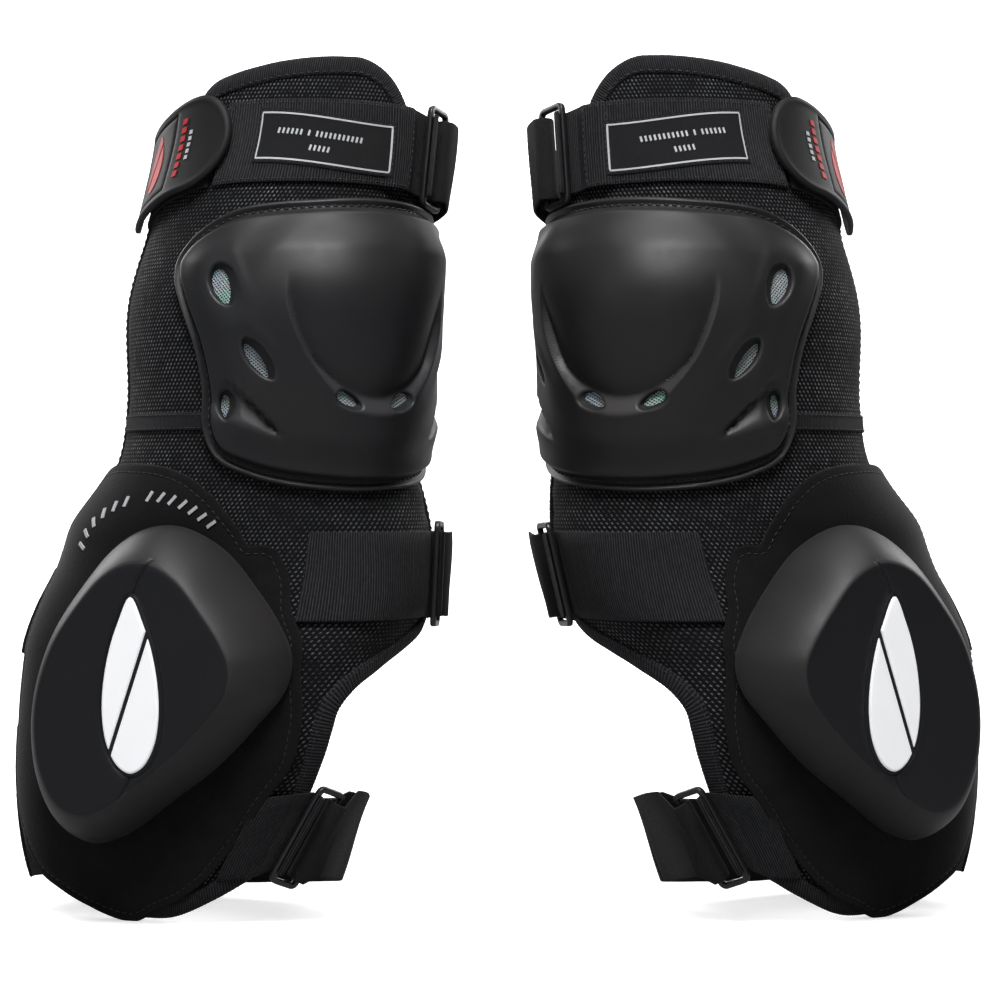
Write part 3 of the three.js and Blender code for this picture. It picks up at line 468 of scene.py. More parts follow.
# ---------------------------------------------------------------- materials
class Graph:
    """Small writer of shader nodes."""
    def __init__(self, tree, shader):
        self.tree, self.shader = tree, shader

    def node(self, kind):
        return self.tree.nodes.new("ShaderNode" + kind)

    def link(self, a, b):
        self.tree.links.new(a, b)

    def drive(self, name, socket):
        self.link(socket, self.shader.inputs[name])

    def math(self, operation, *values, clamp=False):
        node = self.node("Math")
        node.operation = operation
        node.use_clamp = clamp
        for socket, value in zip(node.inputs, values):
            if isinstance(value, (int, float)):
                socket.default_value = value
            else:
                self.link(value, socket)
        return node.outputs[0]

    def mul(self, a, b, clamp=False):
        return self.math("MULTIPLY", a, b, clamp=clamp)

    def scaled(self, value, gain, plus, clamp=False):
        return self.math("MULTIPLY_ADD", value, gain, plus, clamp=clamp)

    def wave(self, x, pitch):
        """Sine wave between 0 and 1."""
        angle = self.scaled(x, gain=2 * math.pi / pitch, plus=0.0)
        return self.scaled(self.math("SINE", angle), gain=0.5, plus=0.5)

    def uv(self):
        node = self.node("UVMap")
        node.uv_map = "UVMap"
        split = self.node("SeparateXYZ")
        self.link(node.outputs[0], split.inputs[0])
        return split.outputs[0], split.outputs[1]

    def place(self):
        return self.node("TexCoord").outputs["Object"]

    def noise(self, place, scale, detail=3):
        node = self.node("TexNoise")
        node.inputs["Scale"].default_value = scale
        node.inputs["Detail"].default_value = detail
        node.inputs["Roughness"].default_value = 0.6
        self.link(place, node.inputs["Vector"])
        return node.outputs["Fac"]

    def ramp(self, value, stops):
        node = self.node("ValToRGB")
        elements = node.color_ramp.elements
        while len(elements) < len(stops):
            elements.new(0.5)
        for element, (position, color) in zip(elements, stops):
            element.position = position
            element.color = (*color, 1)
        self.link(value, node.inputs[0])
        return node.outputs[0]

    def mix(self, share, low, high):
        node = self.node("Mix")
        node.data_type = "RGBA"
        self.link(share, node.inputs["Factor"])
        for socket, color in ((node.inputs[6], low), (node.inputs[7], high)):
            if isinstance(color, tuple):
                socket.default_value = (*color, 1)
            else:
                self.link(color, socket)
        return node.outputs[2]

    def bump(self, height, distance, strength):
        node = self.node("Bump")
        node.inputs["Distance"].default_value = distance
        node.inputs["Strength"].default_value = strength
        self.link(height, node.inputs["Height"])
        self.drive("Normal", node.outputs[0])


def new_material(name, base, rough, sheen=0.0, spec=0.5):
    """A material and the graph that writes its nodes."""
    mat = bpy.data.materials.new(name)
    mat.use_nodes = True
    shader = mat.node_tree.nodes["Principled BSDF"]
    shader.inputs["Base Color"].default_value = (*base, 1)
    shader.inputs["Roughness"].default_value = rough
    shader.inputs["Specular IOR Level"].default_value = spec
    if sheen:
        shader.inputs["Sheen Weight"].default_value = sheen
        shader.inputs["Sheen Roughness"].default_value = 0.45
    return mat, Graph(mat.node_tree, shader)


def spacer_material():
    """Staggered, slanted yarn knots standing out of dark pores."""
    column, row = 2.6, 1.9                  # pitch of the knots, mm
    knot_half_u, knot_half_v = 0.62, 0.74   # half sizes of a knot, mm
    mat, g = new_material("spacer_mesh", (0.02, 0.021, 0.023), rough=0.9, sheen=0.02, spec=0.12)
    u, v = g.uv()
    row_number = g.math("FLOOR", g.math("DIVIDE", v, row))
    shift = g.mul(g.math("MODULO", g.math("ABSOLUTE", row_number), 2.0), column / 2)
    cell_u = g.math("FRACT", g.math("DIVIDE", g.math("ADD", u, shift), column))
    cell_u = g.math("SUBTRACT", cell_u, 0.5)
    cell_v = g.math("SUBTRACT", g.math("FRACT", g.math("DIVIDE", v, row)), 0.5)
    slanted = g.scaled(cell_v, gain=-row / 2, plus=g.mul(cell_u, column))
    radius = g.math("ADD", g.math("POWER", g.mul(slanted, 1 / knot_half_u), 2.0),
                    g.math("POWER", g.mul(cell_v, row / knot_half_v), 2.0))
    knot = g.math("SUBTRACT", 1.0, radius, clamp=True)
    fine = g.noise(g.place(), scale=260, detail=2)
    broad = g.noise(g.place(), scale=34, detail=2)
    amount = g.mul(knot, g.scaled(fine, gain=2.2, plus=-0.55, clamp=True))
    amount = g.mul(amount, g.scaled(broad, gain=1.6, plus=-0.25, clamp=True))
    g.drive("Base Color", g.mix(amount, low=(0.0045, 0.0047, 0.0055), high=(0.36, 0.365, 0.38)))
    height = g.scaled(fine, gain=0.35, plus=g.mul(knot, 1.0))
    g.bump(height, distance=0.0009, strength=0.9)
    return mat


def rib_material(name, pitch, dark, light, depth, rough=0.8, twill=0.0, fine=0.55):
    """Woven tape: ribs every pitch mm along u, finer ones across; twill slants them."""
    mat, g = new_material(name, light, rough, sheen=0.02, spec=0.14)
    u, v = g.uv()
    if twill:
        u = g.scaled(v, gain=twill, plus=u)
    ribs = g.wave(u, pitch)
    cross = g.wave(v, fine)
    fuzz = g.noise(g.place(), scale=420, detail=2)
    broad = g.noise(g.place(), scale=22)
    shade = g.mul(ribs, g.scaled(fuzz, gain=1.1, plus=g.mul(broad, 0.5)), clamp=True)
    g.drive("Base Color", g.mix(shade, low=dark, high=light))
    height = g.scaled(cross, gain=0.25, plus=g.scaled(fuzz, gain=0.3, plus=ribs))
    g.bump(height, distance=depth, strength=0.85)
    return mat


def satin_material(name, base, warm, spec, rough=0.46, grain=900, grain_depth=0.00004,
                   scuff=0.35, pale=None):
    """Moulded shell: two-tone body, a painted highlight on convex edges, and the painted highlight
    of the "pale" attribute if asked.
    """
    mat, g = new_material(name, base, rough, spec=spec)
    place = g.place()
    broad, mid = g.noise(place, scale=16), g.noise(place, scale=90, detail=4)
    fine = g.noise(place, scale=grain)
    pointed = g.node("NewGeometry").outputs["Pointiness"]
    # painted highlight: convex edges, found by pointiness, get a paler colour
    edge = g.mul(g.scaled(pointed, gain=14.0, plus=-7.35, clamp=True),
                 g.scaled(mid, gain=1.6, plus=-0.2, clamp=True))
    body = g.mix(g.scaled(broad, gain=1.5, plus=-0.3, clamp=True), low=base, high=warm)
    edge_highlight_color = tuple(c * 3.2 + 0.01 for c in warm)
    color = g.mix(g.mul(edge, 0.55), low=body, high=edge_highlight_color)
    # the "pale" attribute mixes a painted highlight into the colour
    if pale:
        attribute = g.node("Attribute")
        attribute.attribute_name = "pale"
        color = g.mix(g.mul(attribute.outputs["Fac"], 0.8), low=color, high=pale)
    g.drive("Base Color", color)
    g.drive("Roughness", g.scaled(mid, gain=0.16,
                                  plus=g.scaled(broad, gain=0.14, plus=rough - 0.15)))
    g.bump(fine, distance=grain_depth, strength=scuff * 2)
    return mat


def velour_material():
    mat, g = new_material("velour", (0.0045, 0.0045, 0.005), rough=1.0, sheen=0.09, spec=0.12)
    place = g.place()
    nap, fuzz = g.noise(place, scale=55, detail=4), g.noise(place, scale=900, detail=2)
    shade = g.mul(nap, g.mul(fuzz, 1.3), clamp=True)
    g.drive("Base Color", g.mix(shade, low=(0.0035, 0.0035, 0.004), high=(0.014, 0.0138, 0.015)))
    g.bump(g.scaled(nap, gain=0.6, plus=fuzz), distance=0.0004, strength=0.6)
    return mat


def vent_material():
    """Crossing strands tinted blue, grey and green."""
    mat, g = new_material("vent_mesh", (0.4, 0.42, 0.43), rough=0.45)
    u, v = g.uv()
    rising = g.wave(g.math("ADD", u, v), pitch=1.7)
    falling = g.wave(g.math("SUBTRACT", g.mul(u, 0.6), v), pitch=1.5)
    strand = g.math("MAXIMUM", rising, falling)
    tint = g.ramp(g.noise(g.place(), scale=85), [
        (0.36, (0.20, 0.38, 0.46)), (0.5, (0.36, 0.37, 0.39)), (0.64, (0.20, 0.42, 0.33))])
    shade = g.scaled(strand, gain=3.0, plus=-1.45, clamp=True)
    g.drive("Base Color", g.mix(shade, low=(0.03, 0.032, 0.036), high=tint))
    g.bump(strand, distance=0.0004, strength=0.8)
    return mat


def plain_material(name, base, rough, grain=600, spec=0.5, bump=0.00003, vary=0.25, glow=0.0):
    """One colour varied by the share vary, with a fine grain."""
    mat, g = new_material(name, base, rough, spec=spec)
    # glow paints light into the surface as emission; the part is no lamp
    if glow:
        g.shader.inputs["Emission Color"].default_value = (1, 1, 1, 1)
        g.shader.inputs["Emission Strength"].default_value = glow
    place = g.place()
    broad, fine = g.noise(place, scale=40), g.noise(place, scale=grain, detail=2)
    g.drive("Base Color", g.mix(broad, low=tuple(c * (1 - vary) for c in base),
                                high=tuple(min(1, c * (1 + vary)) for c in base)))
    g.drive("Roughness", g.scaled(broad, gain=0.12, plus=rough - 0.06))
    g.bump(fine, distance=bump, strength=0.7)
    return mat


def knit_material(name, base, light):
    mat, g = new_material(name, base, rough=0.95, sheen=0.08)
    u, v = g.uv()
    wales = g.wave(u, pitch=1.5)
    courses = g.wave(g.math("ADD", v, g.mul(wales, 0.6)), pitch=1.1)
    fuzz = g.noise(g.place(), scale=500, detail=2)
    loops = g.mul(wales, courses)
    g.drive("Base Color", g.mix(g.mul(loops, fuzz), low=base, high=light))
    g.bump(g.scaled(fuzz, gain=0.3, plus=loops), distance=0.0005, strength=0.8)
    return mat


MATS = {
    "spacer": spacer_material(),
    "rib": rib_material("ribbed_webbing", pitch=1.35, dark=(0.003, 0.003, 0.0035),
                        light=(0.042, 0.042, 0.046), depth=0.0005),
    "web": rib_material("smooth_webbing", pitch=0.75, dark=(0.005, 0.005, 0.0055),
                        light=(0.020, 0.020, 0.0215), depth=0.00018, twill=0.6, fine=0.8,
                        rough=0.78),
    "tape": rib_material("edge_tape", pitch=1.5, dark=(0.003, 0.003, 0.0035),
                         light=(0.038, 0.038, 0.042), depth=0.0004, twill=0.25),
    "seam": rib_material("seam_tape", pitch=0.9, dark=(0.006, 0.006, 0.007),
                         light=(0.026, 0.026, 0.029), depth=0.0003),
    "velour": velour_material(),
    # pale: the colour of the cup's painted highlight
    "cup": satin_material("cup_shell", (0.0092, 0.0096, 0.0116), spec=0.34,
                          warm=(0.0138, 0.0133, 0.0136), pale=(0.046, 0.046, 0.050)),
    "cup_right": satin_material("cup_shell_r", (0.0090, 0.0088, 0.0098), spec=0.34,
                                warm=(0.0150, 0.0138, 0.0130), pale=(0.050, 0.047, 0.046)),
    "puck": satin_material("slider_shell", (0.0165, 0.0160, 0.0162), rough=0.5, grain=1300,
                           grain_depth=0.00006, scuff=0.5, warm=(0.0230, 0.0212, 0.0205),
                           spec=0.32),
    "puck_face": satin_material("slider_face", (0.0062, 0.0066, 0.0082), grain=1300,
                                grain_depth=0.00005, scuff=0.5, warm=(0.0092, 0.0092, 0.0102),
                                spec=0.26),
    "rubber": plain_material("tab_rubber", (0.0085, 0.0085, 0.0094), rough=0.6, grain=1100,
                             bump=0.00005, spec=0.22),
    "ring": plain_material("ring_plastic", (0.008, 0.008, 0.009), rough=0.34),
    "vent": vent_material(),
    "hook": plain_material("hook_tape", (0.008, 0.008, 0.009), rough=0.9, grain=1500,
                           bump=0.0006),
    "foam": knit_material("padding_cover", (0.016, 0.016, 0.018), light=(0.075, 0.076, 0.082)),
    "lining": knit_material("lining", (0.014, 0.014, 0.016), light=(0.066, 0.068, 0.074)),
    "label": rib_material("label_cloth", pitch=0.5, dark=(0.006, 0.006, 0.0065),
                          light=(0.016, 0.016, 0.018), depth=0.00008, fine=0.4),
    "grey": plain_material("print_grey", (0.42, 0.43, 0.44), rough=0.6, vary=0.15),
    "thread": plain_material("thread", (0.011, 0.011, 0.012), rough=0.55, grain=1500,
                             bump=0.0002),
    # the white inlay glows with painted light; it is no lamp
    "white": plain_material("inlay_white", (0.93, 0.935, 0.95), rough=0.34, vary=0.03,
                            glow=0.17),
    "red": plain_material("print_red", (0.36, 0.010, 0.014), rough=0.55, vary=0.15, spec=0.25),
    # vent walls: darker than the shell, painted shade in the recesses
    "vent_shade": plain_material("vent_wall_painted_shade", (0.004, 0.004, 0.0045), rough=0.8),
}

# ---------------------------------------------------------------- spacer mesh and its edges
SEAM_Z = 241.5              # height where the upper and lower sheets meet
UPPER_PHI = (-92, 108)      # side edges of the upper sheet
# Lower sheet's side edges: z, first phi, last phi
SHIN_EDGE = [
    [6, -40, 3], [12, -58, 16], [24, -76, 33], [38, -84, 40], [61, -91, 45], [81, -93, 43],
    [100, -93, 41.5], [110, -93, 43], [117, -93, 50], [124, -93, 60], [132, -93, 73],
    [140, -93, 85], [150, -93, 91], [170, -93, 94], [188, -93, 97], [202, -93, 99]]
# Upper sheet's top edge: phi, z
UPPER_TOP = [
    [-94, 343], [-86, 346], [-76, 351], [-66, 360], [-59, 374], [-54, 389], [-49.5, 400],
    [-44, 404.8], [-35, 408], [-22, 411], [-9, 413.4], [10, 415.5], [24, 416], [31, 416],
    [38, 414], [45, 409.5], [50, 404], [55, 396], [61, 382], [68, 366], [78, 352], [92, 345],
    [108, 342]]
# Run of the lower binding: phi, z
LOWER_BINDING = [
    (-92, SEAM_Z - 0.3), (-92.4, 220), (-93, 200), (-93, 170), (-93, 130), (-93, 100), (-93, 80),
    (-90.5, 60), (-84, 38), (-76, 24), (-62, 12.5), (-44, 6.5), (-20, 5.2), (0, 6.3), (14, 12),
    (30, 24), (39.5, 38), (44.5, 55), (44.5, 66), (43, 81), (41.8, 95), (42.5, 106), (48, 116),
    (60, 125), (73, 133), (84, 140.5), (91, 151), (94, 168), (97, 188), (100, 204), (105, 220),
    (108, 234), (108, SEAM_Z - 0.3)]
BINDING_WIDTH = 7.2
# Rolled tape section: mm outwards past the fabric's edge, depth
BINDING_PROFILE = np.array([
    (-BINDING_WIDTH, 3.2), (-BINDING_WIDTH + 0.5, 4.5), (-BINDING_WIDTH * 0.7, 5.0),
    (-BINDING_WIDTH * 0.35, 5.2), (0.2, 5.0), (1.5, 4.1), (2.15, 2.6), (2.15, 1.0), (1.5, -0.6),
    (0.2, -1.5), (-BINDING_WIDTH * 0.35, -1.7), (-BINDING_WIDTH * 0.7, -1.5),
    (-BINDING_WIDTH + 0.5, -1.0), (-BINDING_WIDTH, 0.2)])


def fabric(guard, name, phi, z, edge, fold, inner_fold, relief, replaces, blend):
    """Sheet over a phi and z grid, thinner by its edge; folds in mm, relief of small pores."""
    s = phi * ARC
    full = smooth(edge / 9 + 0.25)
    uneven = noise_at(*np.moveaxis(guard.at(phi, z, 1.7), -1, 0), 0.035, 3.0)
    pores = relief * np.sin(2 * math.pi * s / 5.2) * np.sin(2 * math.pi * z / 3.8) * full
    outer = guard.at(phi, z, 2.6 + 0.9 * full + 0.25 * uneven * full + fold + pores)
    inner = guard.at(phi, z, 0.7 - 0.7 * full + 0.2 * uneven * full + inner_fold)
    pieces = Pieces().add(*shell(outer, inner, np.stack([s, z], -1)))
    build(guard, name, pieces, "spacer", replaces, blend=blend)


def upper_fabric(guard):
    first, last = UPPER_PHI
    phis = np.linspace(first, last, 141)[:, None]
    top = curve(UPPER_TOP, phis)
    z = SEAM_Z + (top - SEAM_Z) * np.linspace(0, 1, 61)
    phi = np.repeat(phis, 61, 1)
    edge = np.minimum(np.minimum(phi - first, last - phi) * ARC, top - z)
    crease = -0.5 * bell(z - 350, 2.6) * smooth((phi + 40) / -20 + 1)
    fabric(guard, "mesh_upper", phi, z, edge, crease, 0, 0, ("knee_panel", "thigh_panel"),
           KNEE_TO_THIGH)


def lower_fabric(guard):
    zs = np.concatenate([np.linspace(6, 24, 12), np.linspace(26, 106, 41),
                         np.linspace(107, 142, 36), np.linspace(144, SEAM_Z, 50)])[:, None]
    # above the shin's edges the sheet widens to meet the upper one
    edges = table(SHIN_EDGE, zs[:, 0]) + smooth((zs - 202) / 30) * [1, 9]
    first, last = edges[:, :1], edges[:, 1:]
    phi = first + (last - first) * np.linspace(0, 1, 111)
    z = np.repeat(zs, 111, 1)
    edge = np.minimum(phi - first, last - phi) * ARC
    fold = (0.55 * bell(z - 205 - 3 * np.sin(phi * 0.08), 2.4)
            - 0.45 * bell(z - 199 - 2 * np.sin(phi * 0.11), 2.2)) * smooth((phi - 10) / 20)
    fabric(guard, "mesh_lower", phi, z, edge, fold, fold * 0.6, 0.16, ("shin_panel",),
           KNEE_TO_SHIN)


def binding(guard, name, corners, replaces, blend):
    """Rolled ribbed tape along (phi, z) points, the fabric on its left."""
    path = resample(spline(np.array(corners) * [ARC, 1], 0.5), 0.5)
    normal = -left_normals(path)
    for _ in range(8):
        normal[1:-1] = (normal[:-2] + normal[1:-1] * 2 + normal[2:]) / 4
    normal = unit(normal)
    lengths = run_length(path)
    swell = 0.07 * np.cos(2 * math.pi * lengths / 2.0)
    radial = unit(BINDING_PROFILE - np.array([-BINDING_WIDTH / 2, 1.7]))
    section = BINDING_PROFILE + swell[:, None, None] * radial
    s = path[:, :1] + normal[:, :1] * section[..., 0]
    z = path[:, 1:] + normal[:, 1:] * section[..., 0]
    pieces = Pieces().add(*loft(guard.flat(s, z, section[..., 1]), lengths,
                                run_length(BINDING_PROFILE)))
    sewn = (path + normal * (-BINDING_WIDTH + 1.5))[::3]
    pieces.join(stitches(guard.flat, sewn[:, 0], sewn[:, 1], 4.75, "binding"), 1)
    build(guard, name, pieces, ("tape", "thread"), replaces, blend=blend)


def bindings(guard):
    top = (103, 92, 80, 70, 63, 57, 52, 47, 41, 33, 24, 10, -9, -22, -35, -44, -49.5, -53, -57,
           -62, -69, -78)
    upper = [(108, SEAM_Z + 0.3), (108, 290), (107.5, 330)]
    upper += [(phi, curve(UPPER_TOP, phi)) for phi in top]
    upper += [(-86, 343), (-91, 335), (-92, 322), (-92, 300), (-92, 270), (-92, SEAM_Z + 0.3)]
    binding(guard, "binding_upper", upper, ("knee_edge_binding", "top_binding"), KNEE_TO_THIGH)
    binding(guard, "binding_lower", LOWER_BINDING, ("shin_binding",), KNEE_TO_SHIN)


def seam_band(guard):
    """Flat tape over the seam at either side of the cup."""
    pieces = Pieces()
    for first, last in ((-91, -19), (99, 107)):
        path = run(first, last, 60, 4.0, SEAM_Z)
        pieces.add(*webbing(guard, path, 8.6, thick=1.0, across=7))
    phi = np.linspace(-90, -19.5, 90)
    for z in (SEAM_Z - 3.2, SEAM_Z + 3.2):
        pieces.join(stitches(guard.at, phi, z, 4.5, "seam"), 1)
    build(guard, "seam_band", pieces, ("seam", "thread"), body="knee")


# ---------------------------------------------------------------- knee cup
CUP_DEPTH = 5       # underside of the sewn flange
CUP_THICK = 2.6
CHANNEL = 3.9       # sewing channel's distance in from the rim
# One half of the cup's outline: degrees from its middle, z
CUP = np.array([
    [0, 348], [14, 347.6], [28, 346.6], [43, 345.2], [57, 342.4], [67.5, 336.5], [75, 328],
    [78.5, 318], [77, 308], [72.6, 297], [66, 278], [62.7, 257], [62, 236], [56, 223],
    [42, 215], [28, 211], [13, 208.8], [0, 208]], float)
# Leaf-shaped openings, each made on both sides: s, z, half width, half height, lean in degrees
VENTS = [[-69, 305, 5.9, 11.2, 27], [-51.5, 270, 4.4, 11.4, 33], [-67.5, 248.5, 4.2, 7.2, 6],
         [-13.4, 250.6, 6.6, 3.7, -30]]
# Half lines of the moulded U: s, z
U_OUTER = np.array([
    (0, 242.6), (8, 243.6), (14, 246.6), (19.5, 251.4), (26, 260.3), (31.8, 270.5), (35.6, 280),
    (38.5, 289), (40.8, 299), (42, 311)], float)
U_INNER = np.array([
    (0, 253.2), (6.5, 254.0), (12.5, 256.2), (18.5, 259.6), (23.6, 264), (28, 269),
    (32.2, 278.5), (35.6, 288.5), (38.6, 299), (40.6, 311)], float)


def cup_outline(step):
    half = CUP * [DEG * CUP_RADIUS, 1]
    return spline(np.concatenate([half, half[1:-1][::-1] * [-1, 1]]), step, True)


def vent_shape(s, z, half_w, half_h, lean, side, grow=0.0):
    turn = np.linspace(0, 2 * math.pi, 34, endpoint=False)
    c, d = np.cos(turn), np.sin(turn)
    if half_h > half_w:     # leaf with a blunter upper end
        u = (half_w + grow) * np.sign(c) * np.abs(c) ** 1.22 * (1 + 0.16 * d)
        v = (half_h + grow) * np.sign(d) * np.abs(d) ** 0.95
    else:
        u = (half_w + grow) * np.sign(c) * np.abs(c) ** 0.9
        v = (half_h + grow) * np.sign(d) * np.abs(d) ** 0.9 * (1 - 0.2 * c)
    cos, sin = math.cos(lean * DEG), math.sin(lean * DEG)
    return np.stack([side * (s + u * cos - v * sin), z + u * sin + v * cos], 1)


def u_line(half):
    return spline(np.concatenate([half[1:][::-1] * [-1, 1], half]), 1.6)


def closed_above(line):
    return np.concatenate([line, [(line[-1, 0], 420), (line[0, 0], 420)]])


CUP_EDGE = cup_outline(1.3)
U_LINES = [u_line(U_INNER), u_line(U_OUTER)]
U_AREAS = [closed_above(line) for line in U_LINES]
HOLES = [counter_clockwise(vent_shape(*vent, side)) for vent in VENTS for side in (1, -1)]


def u_place(p):
    """Distances to the inner and outer U lines, the share across, and inside either area."""
    inner, outer = [line_distance(line, p, closed=False) for line in U_LINES]
    return inner, outer, inner / (inner + outer + 1e-6), *[inside(area, p) for area in U_AREAS]


def hole_distance(p):
    return np.min([line_distance(hole, p) for hole in HOLES], axis=0)


def scoop(s, z, side):
    """Wedge running in and down from the lowest outer vent: along, across, its local width."""
    x, y = side * s + 64, z - 259
    along, across = x * 0.684 - y * 0.729, -x * 0.729 - y * 0.684
    return along, across, 19.5 * np.clip(1 - along / 38, 0.02, 1)


def cup_height(s, z):
    """Rise of the cup's outer face above its sewn flange."""
    p = np.stack([s, z], 1)
    rim = line_distance(CUP_EDGE, p)
    h = 9.5 * (0.46 * smooth((rim - 5.0) / 2.6) + 0.54 * smooth((rim - 5.5) / 20))
    dome = (s / 50) ** 2 + ((z - 301) / np.where(z > 301, 44.0, 62.0)) ** 2
    h = h + 14.6 * np.exp(-1.25 * dome) * (1 - smooth((dome - 1.1) / 0.9))
    # the dome dips to its foot; a ledge rises from there to the lower shell
    inner, outer, share, in_inner, in_outer = u_place(p)
    ledge = np.where(in_outer, -3.4 + 4.9 * smooth(0.12 + 0.88 * share),
                     1.5 * np.exp(-outer / 11))
    h = h + smooth((312 - z) / 36) * np.where(in_inner, -3.4 * np.exp(-inner / 6.5), ledge)
    # bead at the rim, sunk sewing channel, rounded edge
    h += (0.65 * bell(rim - 1.3, 0.8) - 1.0 * bell(rim - CHANNEL, 1.05)
          + 0.2 * bell(rim - 6.0, 0.8))
    h -= 0.8 * edge_drop(rim, 0.7)
    # vents lie in dished hollows; the outer ones have one raised wall
    for vent_s, vent_z, half_w, half_h, lean in VENTS:
        cos, sin = math.cos(lean * DEG), math.sin(lean * DEG)
        for side in (1, -1):
            x, y = side * s - vent_s, z - vent_z
            u, v = x * cos + y * sin, -x * sin + y * cos
            if vent_s < -20:
                h += 0.9 * bell(u - half_w - 2.4, 2.6) * bell(v, half_h + 1.0)
                h -= 1.7 * bell(u + 1.2, half_w + 1.6) * bell(v, half_h + 2.0)
            else:
                h -= 0.5 * bell(u, half_w + 2.2) * bell(v, half_h + 1.6)
    for side in (1, -1):
        along, across, width = scoop(s, z, side)
        reach = smooth((along + 6) / 8) * (1 - smooth((along - 27) / 11))
        h -= 3.9 * reach * smooth((across + 0.9) / 1.8) * (1 - smooth(across / width))
    return h


def cup_painted_highlight(p):
    """Painted highlight: where the shell is made paler as if lit, on the U's ledge, the vents'
    rims and the scoops' lower slopes.
    """
    _, _, share, in_inner, in_outer = u_place(p)
    pale = ((~in_inner & in_outer) * smooth(share / 0.3) * smooth((1 - share) / 0.3)
            * smooth((314 - p[:, 1]) / 26))
    pale = np.maximum(pale, 0.55 * bell(hole_distance(p), 1.0))
    for side in (1, -1):
        along, across, width = scoop(*p.T, side)
        slope = across / width
        pale = np.maximum(pale, 0.6 * smooth((along + 4) / 10) * (1 - smooth((along - 24) / 11))
                          * smooth((slope - 0.3) / 0.4) * (1 - smooth((slope - 0.85) / 0.35)))
    return pale


def vent_sleeve(guard, vent, side):
    """Wall sloping from an opening down to the mesh behind it, drawn in a dark material that
    paints shade into the vent.
    """
    s, z, half_w, half_h, lean = vent
    mouth = vent_shape(*vent, side, grow=0.05)
    if s > -20:
        foot = vent_shape(s, z + 0.9 * 0.9 - 0.9 * math.sin(0), half_w - 1.3, half_h - 1.1,
                          lean, side)
    else:
        foot = vent_shape(s - 1.55 * math.cos(lean * DEG), z - 1.55 * math.sin(lean * DEG),
                          half_w - 1.75, half_h - 2.0, lean, side)
    base = CUP_DEPTH + cup_height(*mouth.T)
    walls = [guard.cup(*mouth.T, base + CUP_THICK - 1.15), guard.cup(*foot.T, base - 1.35),
             guard.cup(*mouth.T, base - 1.45)]
    return loft(np.stack(walls, 1), closed=True)


def knee_cup(guard):
    def top(s, z):
        rounded = 1.0 * edge_drop(hole_distance(np.stack([s, z], 1)), 1.2)
        return guard.cup(s, z, CUP_DEPTH + CUP_THICK + cup_height(s, z) - rounded)

    def bottom(s, z):
        return guard.cup(s, z, CUP_DEPTH + np.maximum(cup_height(s, z), 0) * 0.995 + 0.05)

    inner, outer = U_LINES
    around_u = [line + np.array([0, dz]) for line in (outer, inner)
                for dz in (0, 0.7, -0.7, 1.5, -1.5)]
    verts, faces, uv = plate(
        CUP_EDGE, 1.75, top, bottom, holes=HOLES, hole_rings=(0.35, 0.75, 1.2, 1.9),
        rings=(0.35, 0.7, 1.3, 1.9, 2.6, 3.3, 3.9, 4.5, 5.2, 5.9, 6.5, 7.2, 8, 9),
        extra=around_u)
    pieces = Pieces().add(verts, faces, uv)
    # the vent walls take slot 1, a dark material that paints shade into the vents
    for vent in VENTS:
        for side in (1, -1):
            pieces.add(*vent_sleeve(guard, vent, side), 1)
    ob = build(guard, "cup_shell", pieces, ("cup_right" if guard.right else "cup", "vent_shade"),
               ("knee_cup",), body="knee", sharp=50)
    face = uv[:len(uv) // 2]
    # painted highlight, stored per vertex in the "pale" attribute
    pale = np.zeros(len(ob.data.vertices), np.float32)
    pale[:len(face)] = cup_painted_highlight(face)
    ob.data.attributes.new("pale", "FLOAT", "POINT").data.foreach_set("value", pale)

    s, z = full_circuit(offset_ring(CUP_EDGE, CHANNEL), 1.0).T
    depth = CUP_DEPTH + CUP_THICK + cup_height(s, z)
    build_stitches(guard, "cup_stitches", stitches(guard.cup, s, z, depth, "cup"),
                   "knee")

    def behind(gap):
        return lambda s, z: guard.cup(s, z, CUP_DEPTH + cup_height(s, z) - gap)

    sheet = plate(offset_ring(cup_outline(3.0), 9.0), 3.2, behind(1.5), behind(2.2))
    build(guard, "vent_mesh_sheet", Pieces().add(*sheet), "vent", ("vent_mesh",),
          body="knee")


# ---------------------------------------------------------------- straps and rings
STRAP_THICK = 1.4
UPPER_WIDTH, WIDTH = 41, 42         # upper strap; middle and lower straps
RIB_PITCH, RIB_HEIGHT = 1.35, 0.13
LOWER_LEAN = 16                     # degrees the lower strap leans at its ring
# Height of each strap's middle line: phi, z
UPPER_Z = [[-180, 352], [-130, 354], [-90, 359], [-60, 368], [-35, 374.5], [0, 376],
           [40, 375.5], [62, 373.5], [90, 367], [130, 357], [180, 352]]
MID_Z = [[-300, 168], [-264, 168], [-235, 156], [-205, 141], [-165, 134], [-130, 138],
         [-88, 150], [-60, 152]]
LOWER_Z = [[-340, 43], [-330, 44.5], [-313, 46], [-301, 44], [-274, 37], [-245, 32],
           [-200, 29], [-150, 31], [-110, 36], [-80, 39]]


def upper_z(phi):
    return curve(UPPER_Z, (np.asarray(phi, float) % 360 + 540) % 360 - 180)


def mid_z(phi):
    return curve(MID_Z, phi)


def lower_z(phi):
    phi = np.asarray(phi, float)
    return curve(LOWER_Z, np.where(phi > 0, phi - 360, phi))


def run(first, last, steps, depth, z, lean=0):
    """Strap stations on the leg form; depth, z and lean are numbers or functions of phi."""
    phi = np.linspace(first, last, steps + 1)
    columns = [v(phi) if callable(v) else np.full(steps + 1, float(v)) for v in (depth, z, lean)]
    return [("form", *row) for row in zip(phi, *columns)]


